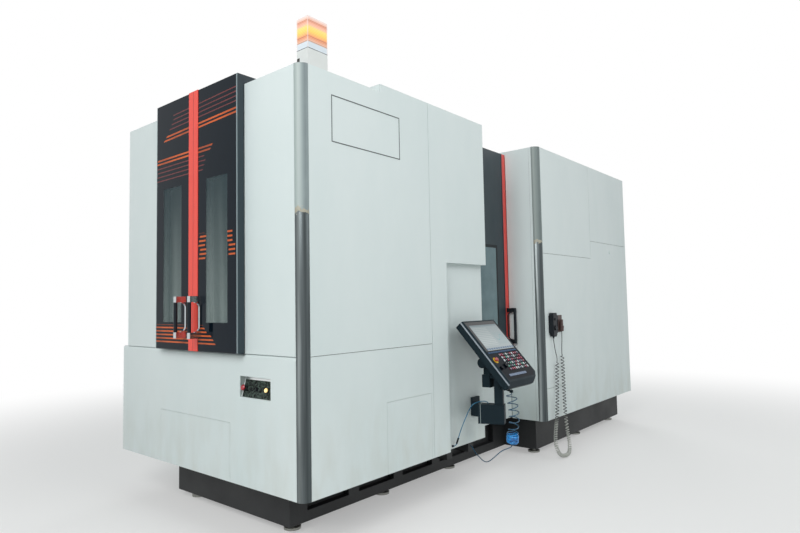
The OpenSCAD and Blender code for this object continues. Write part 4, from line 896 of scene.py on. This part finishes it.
# %% Screen
# The last coat darkens the page towards its top: a painted dark reflection.
page = layered(tree, "#A3AFB1", (table_pane, "#B3BDBD"), (curve_pane, "#9DACAE"), (rows, "#8C9C9F"),
               (curve, "#4FA0A8"), (between(tree, v, 0.268, 0.286), "#76898F"), (soft_keys, "#57708A"),
               (add(tree, "MapRange", [v, 0.10, 0.286, 0.0, 0.5]), "#5B6A6E"))
lit_area = box_on(tree, u, v, -0.208, 0.244, -0.004, 0.286)
wire(shader, {"Base Color": layered(tree, "#15181A", (lit_area, "#202628")),
              "Emission Color": layered(tree, "#000000", (lit_area, page)), "Emission Strength": 0.8,
              "Roughness": 0.14})
print("screen made")

# %% [markdown]
# Under the screen stand rows of raised keys. Each could be a piece with a finish of its own, but one
# material serves all: a key takes its colour from the cell it stands in, where a random number picks one
# of five cap colours, and a pale bar stands for its legend. The emergency stop sits in a yellow ring
# beside them.

# %% Keys in cells
KEY_ACROSS, KEY_UP = 0.033, 0.031               # metres from one key to the next
key_plate, tree, shader = blank_material("membrane_key_plate")
u, v = face_place(tree)
keys_u = add(tree, "Math ADD", [u, 0.092])
keys_v = add(tree, "Math SUBTRACT", [-0.051, v])
column = add(tree, "Math FLOOR", [add(tree, "Math DIVIDE", [keys_u, KEY_ACROSS])])
row = add(tree, "Math FLOOR", [add(tree, "Math DIVIDE", [keys_v, KEY_UP])])
chance = add(tree, "TexWhiteNoise", {"Vector": add(tree, "CombineXYZ", [column, row])}, noise_dimensions="3D")
caps = add(tree, "ValToRGB", [chance],
           stops=[(0.0, "#2B2E33"), (0.26, "#B9BEC0"), (0.46, "#8E2B45"), (0.72, "#5A6070"), (0.88, "#2F7F6B")])
caps.color_ramp.interpolation = "CONSTANT"
in_u = add(tree, "Math MODULO", [keys_u, KEY_ACROSS])
in_v = add(tree, "Math MODULO", [keys_v, KEY_UP])
on_key = all_of(tree, box_on(tree, in_u, in_v, -0.0002, 0.0242, -0.0002, 0.0212, 0.0002),
                box_on(tree, u, v, -0.0925, 0.2325, -0.2275, -0.0505))
print("keys laid out")

# %% Key plate
square_u = add(tree, "Math POWER", [add(tree, "Math ADD", [u, 0.207]), 2.0])
square_v = add(tree, "Math POWER", [add(tree, "Math ADD", [v, 0.109]), 2.0])
from_stop = add(tree, "Math SQRT", [add(tree, "Math ADD", [square_u, square_v])])
legend = box_on(tree, in_u, in_v, 0.006, 0.018, 0.008, 0.012)
plate = layered(tree, "#090D13", (on_key, layered(tree, caps, (legend, "#E4E6E4"))),
                (box_on(tree, u, v, -0.2365, 0.2385, -0.0365, -0.0195), "#3F5570"),
                (box_on(tree, u, v, -0.1725, 0.1145, -0.2865, -0.2635), "#7F8BA0"),
                (add(tree, "Math LESS_THAN", [from_stop, 0.030]), "#C9A227"))
wire(shader, {"Base Color": plate, "Roughness": 0.33, "Specular IOR Level": 0.1, "Specular Tint": "#9CB6D2"})
print("key plate made")

# %% [markdown]
# The console's housing is a dark casting. A bright bevel runs down its left edge, where an anodised
# profile holds the face, so the housing's finish turns to aluminium on that slope. The arm's box has a
# thin pale band near its wall end, a worn bright edge with a painted highlight, drawn across it in the
# box's own turned direction.

# %% Console housing and arm
ARM_TURN = math.radians(22)
ARM_X, ARM_Y = at(264, 2050, 0)[:2]


def on_bevel(tree, x, y, z):
    """The slope along the housing's left edge, from 20 to 11.5 mm behind the face."""
    return all_of(tree, add(tree, "Math LESS_THAN", [face_place(tree)[0], -0.2505]),
                  between(tree, above_plane(tree, FACE_MID, FACE_OUT), -0.0202, -0.0115))


def on_arm_edge_highlight(tree, x, y, z):
    """The painted edge highlight, a 4 mm band across the box: cos a (x - px) + sin a (y - py) lies between two
    lengths.
    """
    along_x = all_of(tree, add(tree, "Math SUBTRACT", [x, ARM_X]), math.cos(ARM_TURN))
    along_y = all_of(tree, add(tree, "Math SUBTRACT", [y, ARM_Y]), math.sin(ARM_TURN))
    return all_of(tree, between(tree, add(tree, "Math ADD", [along_x, along_y]), -0.166, -0.162),
                  add(tree, "Math LESS_THAN", [z, 0.7702]))


housing_coat = zoned("graphite_coat_with_anodised_bevel", console_coat, on_bevel, "#8E969C", "#6C757C", 0.34, 0.7)
arm_coat = zoned("graphite_coat_with_painted_edge_highlight", console_coat, on_arm_edge_highlight, "#9AA5A5", "#8B9696", 0.4)
print("housing and arm coats made")

# %% [markdown]
# ## Dressing the CAD solids
# A CAD solid keeps its shape and gets a finish: the material goes into its first slot. What isn't named
# here is a cover and gets the white powder coat.

# %% Finishes on the nodes
finishes = {
    bed_paint: "bed_casting",
    zinc_plate: "levelling_feet",
    pillar_steel: "front_corner_pillar rear_corner_pillar",
    sheet_inside: "partition_frame",
    slide_paint: "changer_arm table_saddle spindle_column spindle_head tool_magazine",
    ground_steel: "changer_ram pallets rotary_table spindle tool_change_arm",
    leaf_coat: "station_door_left station_door_right",
    door_glass: "station_glass_left station_glass_right",
    front_handle: "station_handle_left station_handle_right",
    side_door_coat: "machining_door",
    gasket_glass: "machining_window",
    framed_coat: "side_upper_panel",
    tray_coat: "control_recess_panel",
    button_red: "main_switch console_estop panel_estop",
    button_lit: "panel_button",
    abs_black: "panel_selector machining_handle handset",
    horn_coat: "handset_holder",
    beacon_coat: "beacon_base",
    lens_clear: "beacon_lens",
    arm_coat: "console_arm",
    console_coat: "console_yoke",
    housing_coat: "console_housing",
    screen_lit: "console_screen",
    key_plate: "console_keypad",
    hose_pu: "air_hose_spiral air_hose_bunch air_hose_lead post_hose",
    lead_black: "handset_cord_leads",
    cord_pvc: "handset_cord_coil",
}
finish_of = {node: finish for finish, nodes in finishes.items() for node in nodes.split()}
for name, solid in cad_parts.items():
    solid.data.materials.clear()
    solid.data.materials.append(finish_of.get(name, cover_white))
print(len(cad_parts), "solids dressed,", len(finish_of), "of them not in white")

# %% [markdown]
# ## Lamps in the beacon
# A louvre is a rounded plate: an outline with round corners carried up in a few rings, the last one pulled
# in to soften its edge. A bevelled cube would do for one, while the formula also suits the whole stack.
# Eight of them stand over each other inside the lens.

# %% Rounded plates
CORNER_POINTS = 6


def rounded_plate(centre, width, height, depth, corner, chamfer):
    """A level plate with round corners: corner arcs joined round the outline, rings stacked from its foot to
    its top, the last ring drawn in by the chamfer, then a fan on both ends. Sizes in metres."""
    a = np.concatenate([np.linspace(q, q + np.pi / 2, CORNER_POINTS) for q in np.arange(4) * np.pi / 2])
    corner_x = np.repeat([1, -1, -1, 1], CORNER_POINTS) * (width / 2 - corner)
    corner_y = np.repeat([1, 1, -1, -1], CORNER_POINTS) * (height / 2 - corner)
    outline = np.stack([corner_x + corner * np.cos(a), corner_y + corner * np.sin(a)], 1)
    inset = 1 - 2 * chamfer / np.array([width, height])
    levels = [(0.0, 1.0), (depth - chamfer, 1.0), (depth, inset)]
    rings = np.stack([np.column_stack([outline * s, np.full(len(outline), w)]) for w, s in levels])
    points = np.vstack([rings.reshape(-1, 3), [[0, 0, 0], [0, 0, depth]]])
    n = len(outline)
    faces = grid_faces(len(levels), n).tolist()
    faces += [[3 * n, (j + 1) % n, j] for j in range(n)]
    faces += [[3 * n + 1, 2 * n + j, 2 * n + (j + 1) % n] for j in range(n)]
    return np.asarray(centre, float) + points, faces


def joined(parts):
    """Several point and face lists as one, with the faces renumbered."""
    points, faces, start = [], [], 0
    for p, f in parts:
        points.append(p)
        faces += [[k + start for k in face] for face in f]
        start += len(p)
    return np.vstack(points), faces


# %% Beacon lamps inside the lens
LOUVRE = (0.099, 0.169, 0.012, 0.006, 0.002)    # width, height, depth, corner radius and chamfer
louvres = [rounded_plate(at(-57.5, 164.5, z), *LOUVRE) for z in range(3536, 3680, 18)]
beacon_lamps = mesh_piece("beacon_lamps", *joined(louvres), lamp_amber, "base", smooth=False)
print(len(louvres), "louvres in", beacon_lamps.name)

# %% [markdown]
# ## Floor and light
# The studio is plain: a pale floor, an even sky and three large soft lamps. The sky is weak enough that
# the white covers keep their tone. Rays from the camera, and those that a mirror or a pane sends on, see
# plain white behind the machine, and the floor fades into that white farther out.

# %% Floor
FLOOR_HALF, FADE_FROM, FADE_TO = 60, 3.4, 9.5   # metres


def seen_ray(tree):
    """1 on rays from the camera, from a mirror or through glass, 0 on rays that only carry light."""
    rays = add(tree, "LightPath").outputs
    return any_of(tree, rays["Is Camera Ray"], rays["Is Glossy Ray"], rays["Is Transmission Ray"])


floor_mesh = bpy.data.meshes.new("floor")
corners = [(-1, -1), (1, -1), (1, 1), (-1, 1)]
floor_mesh.from_pydata([(FLOOR_HALF * i, FLOOR_HALF * j, 0) for i, j in corners], [], [(0, 1, 2, 3)])
floor = bpy.data.objects.new("floor", floor_mesh)
bpy.context.scene.collection.objects.link(floor)
floor_pale, tree, shader = blank_material("studio_floor_paint")
wire(shader, {"Base Color": "#E4E4E2", "Roughness": 0.85})
away = add(tree, "VectorMath LENGTH", [place_of(tree)[0]])
fading = add(tree, "MapRange", [away, FADE_FROM, FADE_TO, 0.35, 1.0], interpolation_type="SMOOTHSTEP")
white = add(tree, "Emission", {"Color": "#FFFFFF", "Strength": 1.0})
shown = add(tree, "MixShader", [all_of(tree, fading, seen_ray(tree)), shader, white])
wire(tree.nodes["Material Output"], {"Surface": shown})
floor_mesh.materials.append(floor_pale)
floor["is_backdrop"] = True
print("floor laid")

# %% Sky
world = bpy.data.worlds.new("studio")
world.use_nodes = True
bpy.context.scene.world = world
tree = world.node_tree
tree.nodes.clear()
seen = seen_ray(tree)
sky = add(tree, "Background", {"Color": layered(tree, "#EAF4F8", (seen, "#FFFFFF")),
                               "Strength": add(tree, "Math MULTIPLY_ADD", [seen, 0.66, 0.34])})
add(tree, "OutputWorld", {"Surface": sky})
print("sky made")

# %% Lamps
MACHINE_MIDDLE = Vector((0, 0, 1.6))


def soft_lamp(name, place, size, watts):
    """A square area lamp at a place in metres, turned to the machine's middle."""
    data = bpy.data.lights.new(name, "AREA")
    data.size, data.energy = size, watts
    lamp = bpy.data.objects.new(name, data)
    bpy.context.scene.collection.objects.link(lamp)
    lamp.location = place
    lamp.rotation_euler = (MACHINE_MIDDLE - Vector(place)).to_track_quat("-Z", "Y").to_euler()


soft_lamp("key", (3.8, -9.6, 6.6), 4.5, 610)
soft_lamp("side", (9.0, -1.0, 6.5), 5.0, 290)
soft_lamp("back", (-6.0, 10.0, 7.0), 5.0, 340)
bpy.context.scene.view_settings.view_transform = "Standard"
print("three lamps lit")

# %% Sizes
print("visual box", box_lists())
